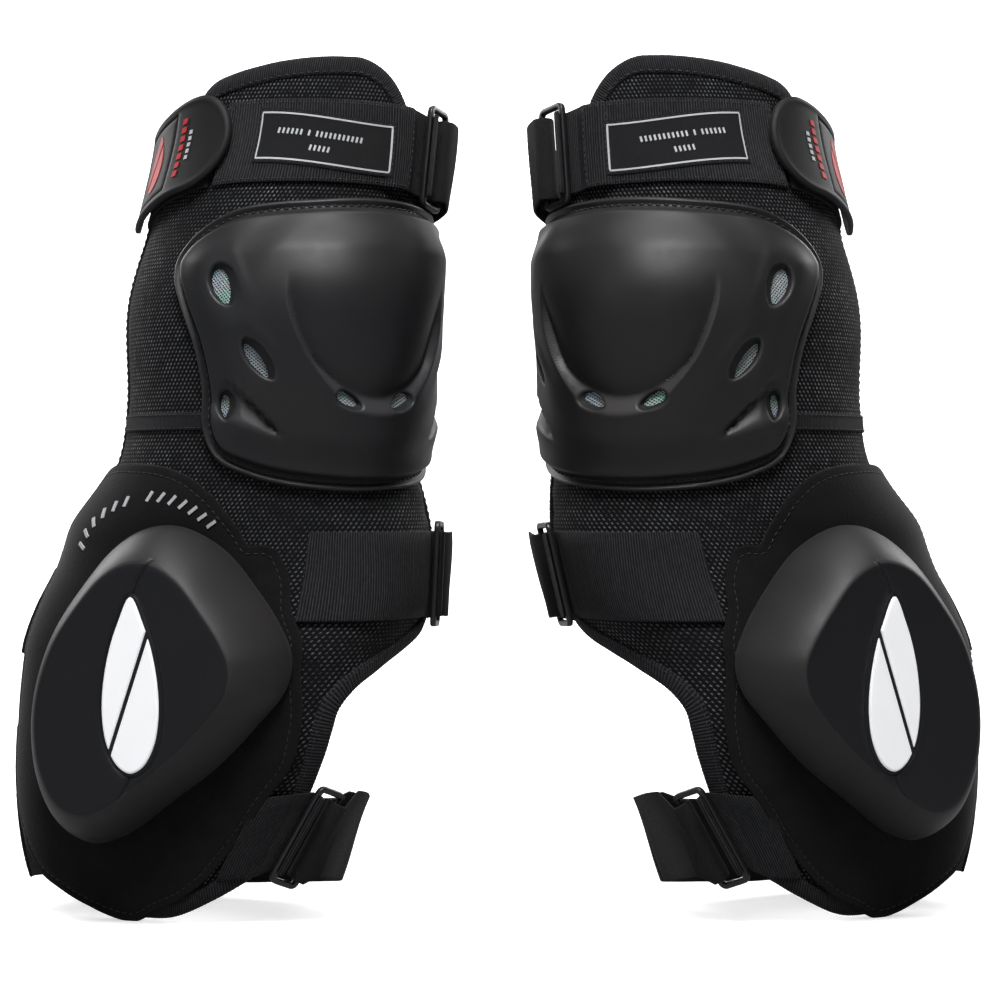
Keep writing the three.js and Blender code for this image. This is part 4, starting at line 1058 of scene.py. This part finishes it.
def web_profile(width, thick, across):
    """Flat strap section with half-round edges."""
    r = thick / 2
    flat = np.linspace(-width / 2 + r, width / 2 - r, across)
    bends = [(math.sin(a), math.cos(a)) for a in np.linspace(0, math.pi, 7)[1:-1]]
    return np.array([(u, r) for u in flat]
                    + [(width / 2 - r + r * sin, r * cos) for sin, cos in bends]
                    + [(u, -r) for u in flat[::-1]]
                    + [(-width / 2 + r - r * sin, -r * cos) for sin, cos in bends])


def webbing(guard, path, width, thick=STRAP_THICK, ribbed=False, across=9):
    """Strap along stations on the leg form ("form") and about a ring's bar ("ring")."""
    profile = web_profile(width, thick, across)
    u, k = profile.T
    sections, middles = [], []
    for i, station in enumerate(path):
        if station[0] == "ring":
            _, middle, normal, up = station
            sections.append(middle + profile[:, :1] * up + profile[:, 1:] * normal)
            middles.append(middle)
            continue
        _, phi, depth, z, lean = station
        before, after = [other if other[0] == "form" else station
                         for other in (path[max(i - 1, 0)], path[min(i + 1, len(path) - 1)])]
        ahead, rise = (after[1] - before[1]) * ARC, after[2] - before[2]
        length = math.hypot(ahead, rise) or 1
        sideways = -k * rise / length + u * math.sin(lean * DEG)
        sections.append(guard.at(phi + sideways / ARC, z + u * math.cos(lean * DEG),
                                 depth + k * ahead / length))
        middles.append(guard.at(phi, z, depth))
    sections, middles = np.array(sections), np.array(middles)
    lengths = run_length(middles)
    if ribbed:
        face = np.sign(k) * (np.abs(u) < width / 2 - 1.2)
        normal = unit(np.cross(sections[:, across - 1] - sections[:, 0],
                               np.gradient(middles, axis=0)))
        outward = sections[:, across // 2] - sections.mean(1)
        normal *= np.sign((normal * outward).sum(1, keepdims=True) + 1e-12)
        ribs = RIB_HEIGHT * np.cos(2 * math.pi * lengths / RIB_PITCH)
        sections = sections + normal[:, None] * face[None, :, None] * ribs[:, None, None]
    return loft(sections, lengths, run_length(profile))


class Ring:
    """Frame of a plastic loop between its keeper bar and free bar, each a (phi, depth)."""
    def __init__(self, guard, keeper, free, width, z, lean=0):
        def bar_ends(phi, depth):
            return [guard.at(phi + u * math.sin(lean * DEG) / ARC, z + u * math.cos(lean * DEG),
                             depth) for u in (-width / 2, width / 2)]

        low, high = bar_ends(*keeper)
        self.width = width
        self.keeper = (low + high) / 2
        self.up = unit(high - low)
        across = sum(bar_ends(*free)) / 2 - self.keeper
        across -= self.up * (across @ self.up)
        self.arm = np.linalg.norm(across)
        self.across = across / self.arm
        self.free = self.keeper + across
        self.out = unit(np.cross(self.across, self.up))

    def turn(self, centre, radius, first, last, steps, facing):
        """Strap stations round a bar."""
        stations = []
        for angle in np.linspace(first, last, steps + 1) * DEG:
            radial = self.across * math.cos(angle) + self.out * math.sin(angle)
            stations.append(("ring", centre + radial * radius, radial * facing, self.up))
        return stations

    def keeper_turn(self):
        return self.turn(self.keeper, 3.35, -90, 110, 34, facing=-1)

    def free_turn(self):
        return self.turn(self.free, 4.9, 270, 90, 24, facing=1)


def ring_loop(guard, place, ring):
    half = ring.width / 2 + 3.6 + 0.0
    half = (ring.width + 4) / 2 + 3.2 / 2
    path = resample(rounded_rect(0.0, ring.arm, -half, half, 2.4, 9), 0.9, True)
    normal = -left_normals(path, True)
    section = rounded_rect(-1.58, 1.58, -1.48, 1.48, 0.93, 4)
    flat = path[:, None] + normal[:, None] * section[None, :, :1]
    points = (ring.keeper + ring.across * flat[..., :1] + ring.up * flat[..., 1:]
              + ring.out * section[None, :, 1:])
    node = f"{place}_ring"
    build(guard, f"loop_{place}", Pieces().add(*loft(points, closed=True)), "ring",
          (node,), body=node, sharp=60)


def box_stitch(guard, first, last, middle_z, half, depth, cross=True):
    """Sewn rectangle on a strap between two angles, with a cross in it if asked."""
    corners = rect(first, last, -half, half)
    pairs = [(0, 1), (1, 2), (2, 3), (3, 0)] + ([(0, 2), (1, 3)] if cross else [])
    share = np.linspace(0, 1, 40)[:, None]
    out = Pieces()
    for i, j in pairs:
        phi, rise = (corners[i] + (corners[j] - corners[i]) * share).T
        level = depth(phi) if callable(depth) else depth
        out.join(stitches(guard.at, phi, middle_z(phi) + rise, level, "strap"))
    return out


def band(guard, place, path, ring, body, node):
    """Ribbed band ending round the ring's keeper bar."""
    verts_faces_uv = webbing(guard, path + ring.keeper_turn(), ring.width, ribbed=True)
    build(guard, f"band_{place}", Pieces().add(*verts_faces_uv), "rib",
          (node,), body=body)


def strap(guard, name, path, width, sewing, body, node):
    pieces = Pieces().add(*webbing(guard, path, width)).join(sewing, 1)
    build(guard, name, pieces, ("web", "thread"), (node,), body=body)


def upper_straps(guard):
    ring = Ring(guard, (68, 8.3), (81, 10), UPPER_WIDTH, float(upper_z(68)))

    def band_depth(phi):
        return 5.2 + 2.2 * smooth((phi - 44) / 6) * (1 - smooth((phi - 56) / 6))

    def end_depth(phi):
        return 14.6 - 6.4 * smooth((phi + 276) / 30)

    band(guard, "upper", run(-34, 62, 380, band_depth, upper_z), ring, "thigh", "label_band")
    sewing = box_stitch(guard, -33, 57, upper_z, 18.8, lambda phi: band_depth(phi) + 0.72,
                        cross=False)
    for phi in (-31.2, 46.5):
        z = upper_z(phi) + np.linspace(-18.5, 18.5, 30)
        sewing.join(stitches(guard.at, phi, z, band_depth(phi) + 0.75, "strap"))
    build_stitches(guard, "band_upper_stitches", sewing, "thigh")
    path = (run(-36.5, -269, 170, 5.6, upper_z) + ring.free_turn()
            + run(-276, -244, 26, end_depth, upper_z))
    sewing = box_stitch(guard, -266, -250, upper_z, 17.5, lambda phi: end_depth(phi) + 0.75)
    strap(guard, "strap_upper", path, UPPER_WIDTH, sewing, "thigh", "upper_strap")
    ring_loop(guard, "upper", ring)


def mid_straps(guard):
    ring = Ring(guard, (83, 8.6), (95, 10.6), WIDTH, 168)

    def band_depth(phi):
        return 5.6 + 0.9 * smooth((phi - 40) / 15) * (1 - smooth((phi - 71) / 8))

    band(guard, "mid", run(26, 77, 204, band_depth, 168), ring, "shin", "mid_band")
    path = (run(-90, -255, 130, lambda phi: 6.6 + 0.7 * smooth((-235 - phi) / 12), mid_z)
            + ring.free_turn()
            + run(-262, -236.6, 22, lambda phi: 15.4 - 6.4 * smooth((phi + 262) / 24), mid_z))
    strap(guard, "strap_mid", path, WIDTH, box_stitch(guard, -104, -93, mid_z, 17.5, 7.35),
          "shin", "mid_strap")
    strap(guard, "strap_mid_end", run(-234.5, -197, 40, 9, mid_z), WIDTH,
          box_stitch(guard, -212, -199, mid_z, 17.5, 9.75), "mid_end", "mid_strap_end")
    ring_loop(guard, "mid", ring)


def lower_straps(guard):
    ring = Ring(guard, (42, 8.7), (53, 10.6), WIDTH, float(lower_z(42)), LOWER_LEAN)

    def band_depth(phi):
        return 6 - 0.6 * smooth((29 - phi) / 5)

    def lean(phi):
        return LOWER_LEAN * smooth((-240 - phi) / 40)

    def end_depth(phi):
        return 15.9 - 7.5 * smooth((phi + 303) / 26)

    band(guard, "lower", run(24, 37, 52, band_depth, lower_z, LOWER_LEAN), ring, "shin",
         "lower_band")
    path = (run(-88, -296, 160, 6, lower_z, lean) + ring.free_turn()
            + run(-303, -273, 24, end_depth, lower_z, lean))
    strap(guard, "strap_lower", path, WIDTH, box_stitch(guard, -103, -92, lower_z, 17.5, 6.75),
          "shin", "lower_strap")
    strap(guard, "strap_lower_end", run(-272, -230, 44, 8.4, lower_z, lean), WIDTH,
          box_stitch(guard, -246, -233, lower_z, 17.0, 9.15), "lower_end", "lower_strap_end")
    ring_loop(guard, "lower", ring)


# ---------------------------------------------------------------- label on the upper band
def label(guard):
    s0, s1, half, base = -17.5 * ARC, 47.5 * ARC, 13.2, 5.98

    def surface(s, w, depth):
        phi = s / ARC
        z = 378.3 - 5.5 * smooth((phi + 15) / 62) + w
        return guard.flat(s, z, depth + 2.2 * smooth((phi - 44) / 6))

    s, w = np.meshgrid(np.linspace(s0, s1, 90), np.linspace(-half, half, 14), indexing="ij")
    cloth = shell(surface(s, w, base + 0.75), surface(s, w, base), np.stack([s, w], -1))
    build(guard, "label_patch", Pieces().add(*cloth), "label", ("label",),
          body="thigh")

    def inset(margin):
        return rect(s0 + margin, s1 - margin, -half + margin, half - margin)

    frame_line = resample(inset(2.0), 0.9, True)
    marks = Pieces().add(*ribbon(surface, frame_line, 0.42, base + 0.6, base + 0.95, True))
    step = 2.75
    # rows of woven ticks: middle height, first s, ticks in each group
    for middle, s, groups in ((2.6, s0 + 13.5, (6, 1, 11)), (-4.4, s0 + 34, (5,))):
        for count in groups:
            for _ in range(count):
                tick = [(s - 0.35, middle - 1.35), (s + 0.35, middle + 1.35)]
                marks.add(*ribbon(surface, tick, 0.62, base + 0.6, base + 0.92))
                s += step
            s += step * 0.8
    build(guard, "label_print", marks, "grey", body="thigh", sharp=60)
    sewing = stitches(surface, *full_circuit(inset(0.9), 1.0).T, base + 0.75, "label")
    build_stitches(guard, "label_stitches", sewing, "thigh")


# ---------------------------------------------------------------- closing tab
# The split leaf mark, as drawn on the slider: t across, z
LEAF = spline([[7, 77], [0, 80.5], [-5.6, 90], [-8, 102], [-7.8, 116], [-4.6, 133],
               [0.4, 147], [7, 159], [13.6, 147], [18.6, 133], [21.8, 116], [22, 102],
               [19.6, 90], [14, 80.5]], 1.0, True)
LEAF_SPLIT = (0.34, 0.94)       # direction of the gap through it
TAB_Z = [[-89, 358.5], [-70, 367], [-50, 375], [-29, 377.5]]    # middle line: phi, z


def tab(guard):
    s0, nose_s, half, nose_length = -89 * ARC, -47 * ARC, 23.5, 24.1
    face = 11.6     # depth of the outer face

    def surface(s, w, depth):
        return guard.flat(s, curve(TAB_Z, s / ARC) + w, depth)

    angles = np.linspace(-90, 90, 40) * DEG
    nose = np.stack([nose_s + nose_length * np.cos(angles), half * np.sin(angles)], 1)
    back = [[s0 + 2.5, half], [s0 + 0.7, half - 0.7], [s0, half - 2.5],
            [s0, -half + 2.5], [s0 + 0.7, -half + 0.7], [s0 + 2.5, -half]]
    outline = resample(np.concatenate([nose, back]), 1.3, True)
    panel = resample(rect(s0 + 9, s0 + 41, -18.2, 18.2), 1.2, True)

    def top(s, w):
        p = np.stack([s, w], 1)
        edge = line_distance(outline, p)
        h = face - 1.1 * edge_drop(edge, 1.6) + 0.35 * bell(edge - 2.3, 0.7)
        h -= 0.75 * bell(line_distance(panel, p), 0.55) + 0.25 * inside(panel, p)
        return surface(s, w, h)

    pieces = Pieces().add(*plate(
        outline, 1.9, top, lambda s, w: surface(s, w, 8.75),
        rings=(0.25, 0.55, 0.95, 1.5, 2.1, 2.9, 3.8),
        extra=[offset_ring(panel, d) for d in (-1.0, -0.5, 0, 0.5, 1.0)]))

    def decal(poly, slot, depth=face):
        pieces.add(*plate(counter_clockwise(resample(poly, 1.0, True)), 2.5,
                          lambda s, w: surface(s, w, depth + 0.35),
                          lambda s, w: surface(s, w, depth - 0.3)), slot)

    middle = s0 + 26.5
    small_leaf = (LEAF - [7, 118]) * [0.42, 0.34] + [middle, 0]
    for blade in halves(small_leaf, (middle, 0), LEAF_SPLIT, 0.75):
        decal(blade, 1, 11.35)
    # two columns of ticks: slot, count, s from, s to, first w, height, pitch
    for slot, count, start, end, w0, tall, pitch in ((1, 7, 47.2, 50.4, -14.6, 2.8, 4.3),
                                                     (2, 5, 53.4, 55.3, -7.4, 1.9, 3.1)):
        for i in range(count):
            w = w0 + pitch * i
            decal(rect(s0 + start, s0 + end, w, w + tall), slot)
    build(guard, "tab_rubber", pieces, ("rubber", "red", "grey"), ("tab",),
          body="tab", sharp=45)


# ---------------------------------------------------------------- velour patch
# Outline up the right edge, with its notch, then down the left: phi, z
PATCH_EDGE = np.array([
    [-22, 1.5], [-7, 8], [6, 15], [15.5, 24], [25, 43], [29.5, 60], [33.5, 78], [32.5, 94],
    [31.5, 110], [30, 128], [28.6, 139], [24.6, 152], [21.4, 166], [17, 177], [15.5, 180.3],
    [10, 183], [4.2, 182.6], [-1, 190], [-7.6, 197], [-17, 208], [-28, 216], [-42, 220.5],
    [-70, 220.5], [-78, 216], [-82, 208], [-84, 197], [-85, 190], [-86, 183], [-87, 177],
    [-88, 166], [-88, 152], [-88, 139], [-88, 128], [-88, 110], [-88, 94], [-88, 78],
    [-88, 60], [-84, 43], [-76, 24], [-65, 15], [-53, 8], [-32, 1.5]])
# Arc of printed dashes on the left guard: s, z
DASH_ARC = np.array([
    (-88.2, 182.2), (-86.2, 188.8), (-82, 195.5), (-76.2, 200.8), (-67.5, 205),
    (-53.5, 208), (-39, 206), (-27.2, 201.2), (-14.8, 193.8)]) + [0, -2.2]


def patch_depth(z):
    return 4.6 + 1.7 * smooth((z - 180) / 18)


def patch(guard):
    outline = spline(PATCH_EDGE * [ARC, 1], 2.0, True)
    x, z = outline.T
    uneven = noise_at(x, z, 0 * x, 0.045, 11.0)
    inward = offset_ring(outline, 1.0) - outline
    outline = outline - inward * (0.9 * uneven)[:, None]

    def lift(s, z):
        edge = line_distance(outline, np.stack([s, z], 1))
        waves = noise_at(s, z, 0 * s, 0.03, 5.0)
        return edge, (0.35 * waves * np.exp(-edge / 14)
                      + 0.5 * np.exp(-edge / 3.0) * (waves > -0.2))

    def top(s, z):
        edge, rise = lift(s, z)
        return guard.flat(s, z, patch_depth(z) + 1.6 + rise - 0.75 * edge_drop(edge, 0.9)
                          - 0.35 * bell(edge - 4.0, 0.7))

    def bottom(s, z):
        return guard.flat(s, z, patch_depth(z) + lift(s, z)[1] * 0.8)

    cloth = plate(outline, 3.2, top, bottom, rings=(0.3, 0.7, 1.3, 2.2, 3.2, 4.0, 4.8, 6))
    build(guard, "velour_patch", Pieces().add(*cloth), "velour", ("slider_patch",),
          body="shin")
    s, z = full_circuit(offset_ring(outline, 4.0), 1.2).T
    build_stitches(guard, "patch_stitches",
                   stitches(guard.flat, s, z, patch_depth(z) + 1.35, "patch"), "shin")
    if not guard.right:
        patch_dashes(guard)


def patch_dashes(guard):
    line = spline(DASH_ARC, 0.6)
    lengths = run_length(line)
    marks = Pieces()

    def surface(s, z, depth):
        return guard.flat(s, z, patch_depth(z) + 1.6 + depth)

    for i in range(14):
        if i == 6:      # a gap in the row
            continue
        along = 2.0 + (lengths[-1] - 4.0) * i / 13
        centre, before, after = at_length(line, lengths, along + np.array([0, -0.6, 0.6]))
        tangent = unit(after - before)
        normal = np.array([-tangent[1], tangent[0]])
        half = normal * 2.3 + tangent * 0.9
        marks.add(*ribbon(surface, [centre - half, centre + half], 0.85, 0.05, 0.5))
    build(guard, "patch_dashes", marks, "grey", body="shin", sharp=60)


# ---------------------------------------------------------------- slider
SLIDER_PHI = -24.0                      # direction its flat face looks
SLIDER_MIDDLE = np.array([8.0, 114.0])
FLAT_SHARE = 0.775                      # where the slope ends, as a share of the outline
SLIDER_DEPTH = 8.9
# Outline seen square on: t across, z
PUCK = [[1.7, 190.8], [17.6, 191.6], [36.5, 182], [53.7, 163], [66.9, 145], [73, 131],
        [70.6, 115.8], [56.9, 98.7], [36.5, 78.7], [12.1, 61.2], [-13.7, 44.2], [-31.6, 39.4],
        [-46.5, 46], [-57.5, 65], [-61.5, 91], [-58.5, 116], [-48, 143], [-31, 166], [-14, 183]]
# Engraved lines, each with whether it closes: round the leaf, and on past its two tips
GROOVES = [(offset_ring(LEAF, -1.9), True), (spline([[8, 161], [11, 168], [17, 176]], 1.0), False),
           (spline([[6, 75], [1, 66], [-6, 59]], 1.0), False)]


def slider(guard):
    sin, cos = math.sin(SLIDER_PHI * DEG), math.cos(SLIDER_PHI * DEG)
    across, out = np.array([cos, sin, 0.0]), np.array([sin, -cos, 0.0])
    # both guards measure from the left form's centre
    origin = np.array([*table(LEG, SLIDER_MIDDLE[1])[:2], 0.0])

    def form_height(t, z, depth):
        """How far out the form lies under (t, z), found by halving the angle."""
        low, high = np.full(t.shape, SLIDER_PHI - 88), np.full(t.shape, SLIDER_PHI + 88)
        for _ in range(26):
            mid = (low + high) / 2
            short = (guard.at(mid, z, depth) - origin) @ across < t
            low, high = np.where(short, mid, low), np.where(short, high, mid)
        return (guard.at((low + high) / 2, z, depth) - origin) @ out

    def at(t, z, n):
        return np.stack([origin[0] + across[0] * t + out[0] * n,
                         origin[1] + across[1] * t + out[1] * n, z], -1)

    face = float(form_height(*[np.array(v) for v in SLIDER_MIDDLE], 8.0)) + 29
    outline = counter_clockwise(spline(PUCK, 2.4, True))
    from_middle = outline - SLIDER_MIDDLE
    angles = np.unwrap(np.arctan2(from_middle[:, 1], from_middle[:, 0]))
    order = np.argsort(angles)
    angles = np.concatenate([angles[order] + turn for turn in (-2 * math.pi, 0, 2 * math.pi)])
    radii = np.tile(np.linalg.norm(from_middle, axis=1)[order], 3)

    def share(t, z):
        """0 at the middle, 1 on the outline."""
        x, y = t - SLIDER_MIDDLE[0], z - SLIDER_MIDDLE[1]
        return np.hypot(x, y) / np.interp(np.arctan2(y, x), angles, radii)

    def top(t, z):
        q = share(t, z)
        rim = form_height(t, z, SLIDER_DEPTH) + 3.5
        climb = (1 - q) / (1 - FLAT_SHARE)
        x = np.clip(climb, 0, 1)
        rise = 0.56 * (1 - (1 - x) ** 2.1) + 0.44 * x
        soft = 0.035    # eases the corner between the slope and the flat
        corner = (climb > 1 - 3 * soft) & (climb < 1 + 2 * soft)
        rise = np.where(corner, rise - 0.012 * bell(climb - 1, soft), rise)
        n = rim + (face - rim) * rise - 1.6 * edge_drop((1 - q) * 60, 2.2)
        for line, closed in GROOVES:
            n = n - 0.75 * bell(line_distance(line, np.stack([t, z], 1), closed), 0.62)
        return at(t, z, n)

    extra = [SLIDER_MIDDLE + from_middle * q for q in
             (0.992, 0.98, 0.965, 0.945, 0.92, 0.895, 0.87, 0.845, 0.82, 0.80, 0.787, 0.775,
              0.763, 0.75, 0.73)]
    for line, closed in GROOVES:
        for d in (-1.2, -0.6, 0, 0.6, 1.2):
            extra.append(offset_ring(line, d) if closed else line + left_normals(line) * d)
    verts, faces, uv = plate(outline, 2.6, top,
                             lambda t, z: at(t, z, form_height(t, z, SLIDER_DEPTH)), extra=extra)
    pieces = Pieces().add(verts, faces, uv)
    middles = np.array([uv[list(f)].mean(0) for f in faces])
    on_top = np.array([max(f) < len(uv) // 2 for f in faces])
    pieces.slots = [int(v) for v in (share(*middles.T) < FLAT_SHARE) & on_top]
    build(guard, "slider_shell", pieces, ("puck", "puck_face"),
          ("slider_puck",), body="puck", sharp=48)

    blades = Pieces()
    for blade in halves(LEAF, (7, 117), LEAF_SPLIT, 1.15):
        def blade_top(t, z):
            edge = line_distance(blade, np.stack([t, z], 1))
            return at(t, z, face + 1.15 - 0.6 * edge_drop(edge, 1.1))

        blades.add(*plate(blade, 2.0, blade_top, lambda t, z: at(t, z, face + 0.02),
                          rings=(0.25, 0.55, 0.95, 1.5)))
    build(guard, "slider_mark", blades, "white", ("slider_inlay",), body="puck",
          sharp=50)


# ---------------------------------------------------------------- padding on the inside
def cushion(guard, name, phis, z0, z1, depth, thick, channels_s, channels_z, body, slot,
            replaces):
    """Pad with stitched channels, its outer side at the depth, swelling towards the leg."""
    s0, s1 = phis[0] * ARC, phis[1] * ARC
    outline = resample(rounded_rect(s0, s1, z0, z1, 12.0, 10), 2.2, True)

    def swell(s, z):
        edge = line_distance(outline, np.stack([s, z], 1))
        full = np.sqrt(np.clip(1 - (1 - np.clip(edge / 12, 0, 1)) ** 2, 0, 1))
        h = thick * (0.18 + 0.82 * full)
        for offset in [s - x for x in channels_s] + [z - y for y in channels_z]:
            h = h - thick * 0.42 * bell(offset, 2.6) * smooth(edge / 6)
        h = h + 0.35 * noise_at(s, z, 0 * s, 0.05, 9.0) * full
        return np.clip(h, 0.6, thick)

    pad = plate(outline, 2.6, lambda s, z: guard.flat(s, z, depth),
                lambda s, z: guard.flat(s, z, depth - swell(s, z)),
                rings=(0.4, 1.0, 1.8, 2.8, 4, 6, 9))
    build(guard, name, Pieces().add(*pad), slot if slot == "lining" else "foam",
          replaces, body=body, sharp=60)
    sewing = Pieces()
    lines = [((x, z0 + 7), (x, z1 - 7)) for x in channels_s]
    lines += [((s0 + 7, y), (s1 - 7, y)) for y in channels_z]
    for start, end in lines:
        s, z = np.linspace(start, end, 50).T
        sewing.join(stitches(guard.flat, s, z, depth - swell(s, z), "pad", facing=-1))
    build_stitches(guard, name + "_stitches", sewing, body)


def pads(guard):
    middle = FRONT * ARC
    cushion(guard, "knee_cushion", (-10, 90), 226, 328, depth=-1.5, thick=9.4,
            channels_s=(middle - 26, middle + 26), channels_z=(253, 302), body="knee",
            slot="lining", replaces=("comfort_pad", "knee_lining"))
    cushion(guard, "shin_cushion", (-66, 30), 34, 184, depth=-2.0, thick=5.4,
            channels_s=(-46, -6), channels_z=(84, 134), body="shin", slot="foam",
            replaces=("shin_pad",))


for side in ("left", "right"):
    guard = Guard(side)
    for part in (upper_fabric, lower_fabric, bindings, seam_band, knee_cup, upper_straps,
                 mid_straps, lower_straps, label, tab, patch, slider, pads):
        part(guard)
    for name in ("tab_hook_pad", "slider_hook_pad"):
        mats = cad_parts[f"{side}_{name}"].data.materials
        mats.clear()
        mats.append(MATS["hook"])


# ---------------------------------------------------------------- floor, lights, camera (m)
def floor_material():
    color = (0.93, 0.93, 0.93)
    mat, g = new_material("pale_floor", color, rough=0.9, spec=0.1)
    mottled = g.mix(g.noise(g.place(), scale=3), low=tuple(c * 0.985 for c in color), high=color)
    seen = g.node("LightPath").outputs["Is Camera Ray"]
    g.drive("Base Color", g.mix(seen, low=(0.30, 0.30, 0.31), high=mottled))
    g.shader.inputs["Emission Color"].default_value = (1, 1, 1, 1)
    # glow that grows away from the guards, for the camera only
    distance = g.node("VectorMath")
    distance.operation = "LENGTH"
    g.link(g.place(), distance.inputs[0])
    away = g.scaled(distance.outputs["Value"], gain=0.45, plus=-0.27, clamp=True)
    g.drive("Emission Strength", g.mul(seen, g.scaled(away, gain=0.40, plus=0.45)))
    # clear from behind, so that the guards show from the back too
    through, either = g.node("BsdfTransparent"), g.node("MixShader")
    backfacing = g.node("NewGeometry").outputs["Backfacing"]
    g.link(g.mul(seen, backfacing), either.inputs[0])
    g.link(g.shader.outputs["BSDF"], either.inputs[1])
    g.link(through.outputs["BSDF"], either.inputs[2])
    g.link(either.outputs[0], g.tree.nodes["Material Output"].inputs["Surface"])
    return mat


def floor_and_backdrop():
    """Floor curving up into a wall behind the guards."""
    half_width, radius = 9.0, 0.9
    profile = [(-9.0, 0.0), (radius, 0.0)]
    profile += [(radius + radius * math.sin(a), radius - radius * math.cos(a))
                for a in np.linspace(0, math.pi / 2, 14)[1:]]
    profile.append((2 * radius, 5.0))
    mesh = bpy.data.meshes.new("floor_and_backdrop")
    faces = [(2 * i, 2 * i + 1, 2 * i + 3, 2 * i + 2) for i in range(len(profile) - 1)]
    mesh.from_pydata([(x, y, z) for y, z in profile for x in (-half_width, half_width)], [], faces)
    mesh.materials.append(floor_material())
    mesh.polygons.foreach_set("use_smooth", np.ones(len(faces), bool))
    ob = bpy.data.objects.new("floor_and_backdrop", mesh)
    bpy.context.scene.collection.objects.link(ob)


def area_light(name, location, target, size, power, color=(1, 1, 1)):
    light = bpy.data.lights.new(name, "AREA")
    light.shape = "DISK"
    light.size = size
    light.energy = power
    light.color = color
    ob = bpy.data.objects.new(name, light)
    bpy.context.scene.collection.objects.link(ob)
    ob.location = location
    aim = Vector(target) - Vector(location)
    ob.rotation_euler = aim.to_track_quat("-Z", "Y").to_euler()


floor_and_backdrop()
area_light("key", (0.0, -1.1, 1.75), target=(0, 0, 0.28), size=0.8, power=38)
area_light("fill", (-1.6, -1.3, 0.9), target=(0, 0, 0.2), size=1.2, power=3.5,
           color=(0.96, 0.98, 1.0))
area_light("top", (0.0, 0.0, 2.2), target=(0, 0.1, 0.2), size=1.2, power=14)
area_light("rim_left", (-1.3, 1.0, 1.0), target=(0, 0, 0.22), size=0.9, power=16)
area_light("rim_right", (1.3, 1.0, 1.0), target=(0, 0, 0.22), size=0.9, power=16)
area_light("back", (0.0, 1.7, 0.9), target=(0, 0, 0.2), size=0.9, power=20)

scene = bpy.context.scene
world = bpy.data.worlds.new("studio")
scene.world = world
world.use_nodes = True
sky = Graph(world.node_tree, world.node_tree.nodes["Background"])
sky.shader.inputs["Color"].default_value = (0.98, 0.98, 0.985, 1)
seen = sky.node("LightPath").outputs["Is Camera Ray"]
sky.drive("Strength", sky.scaled(seen, gain=0.80, plus=0.17))
scene.view_settings.view_transform = "Standard"

camera = bpy.data.cameras.new("camera")
camera.sensor_width = 36
camera.lens = 102.375
camera_object = bpy.data.objects.new("camera", camera)
scene.collection.objects.link(camera_object)
camera_object.location = (0, -1.4, 0.2026)
camera_object.rotation_euler = (math.pi / 2, 0, 0)
scene.camera = camera_object

bpy.context.view_layer.update()
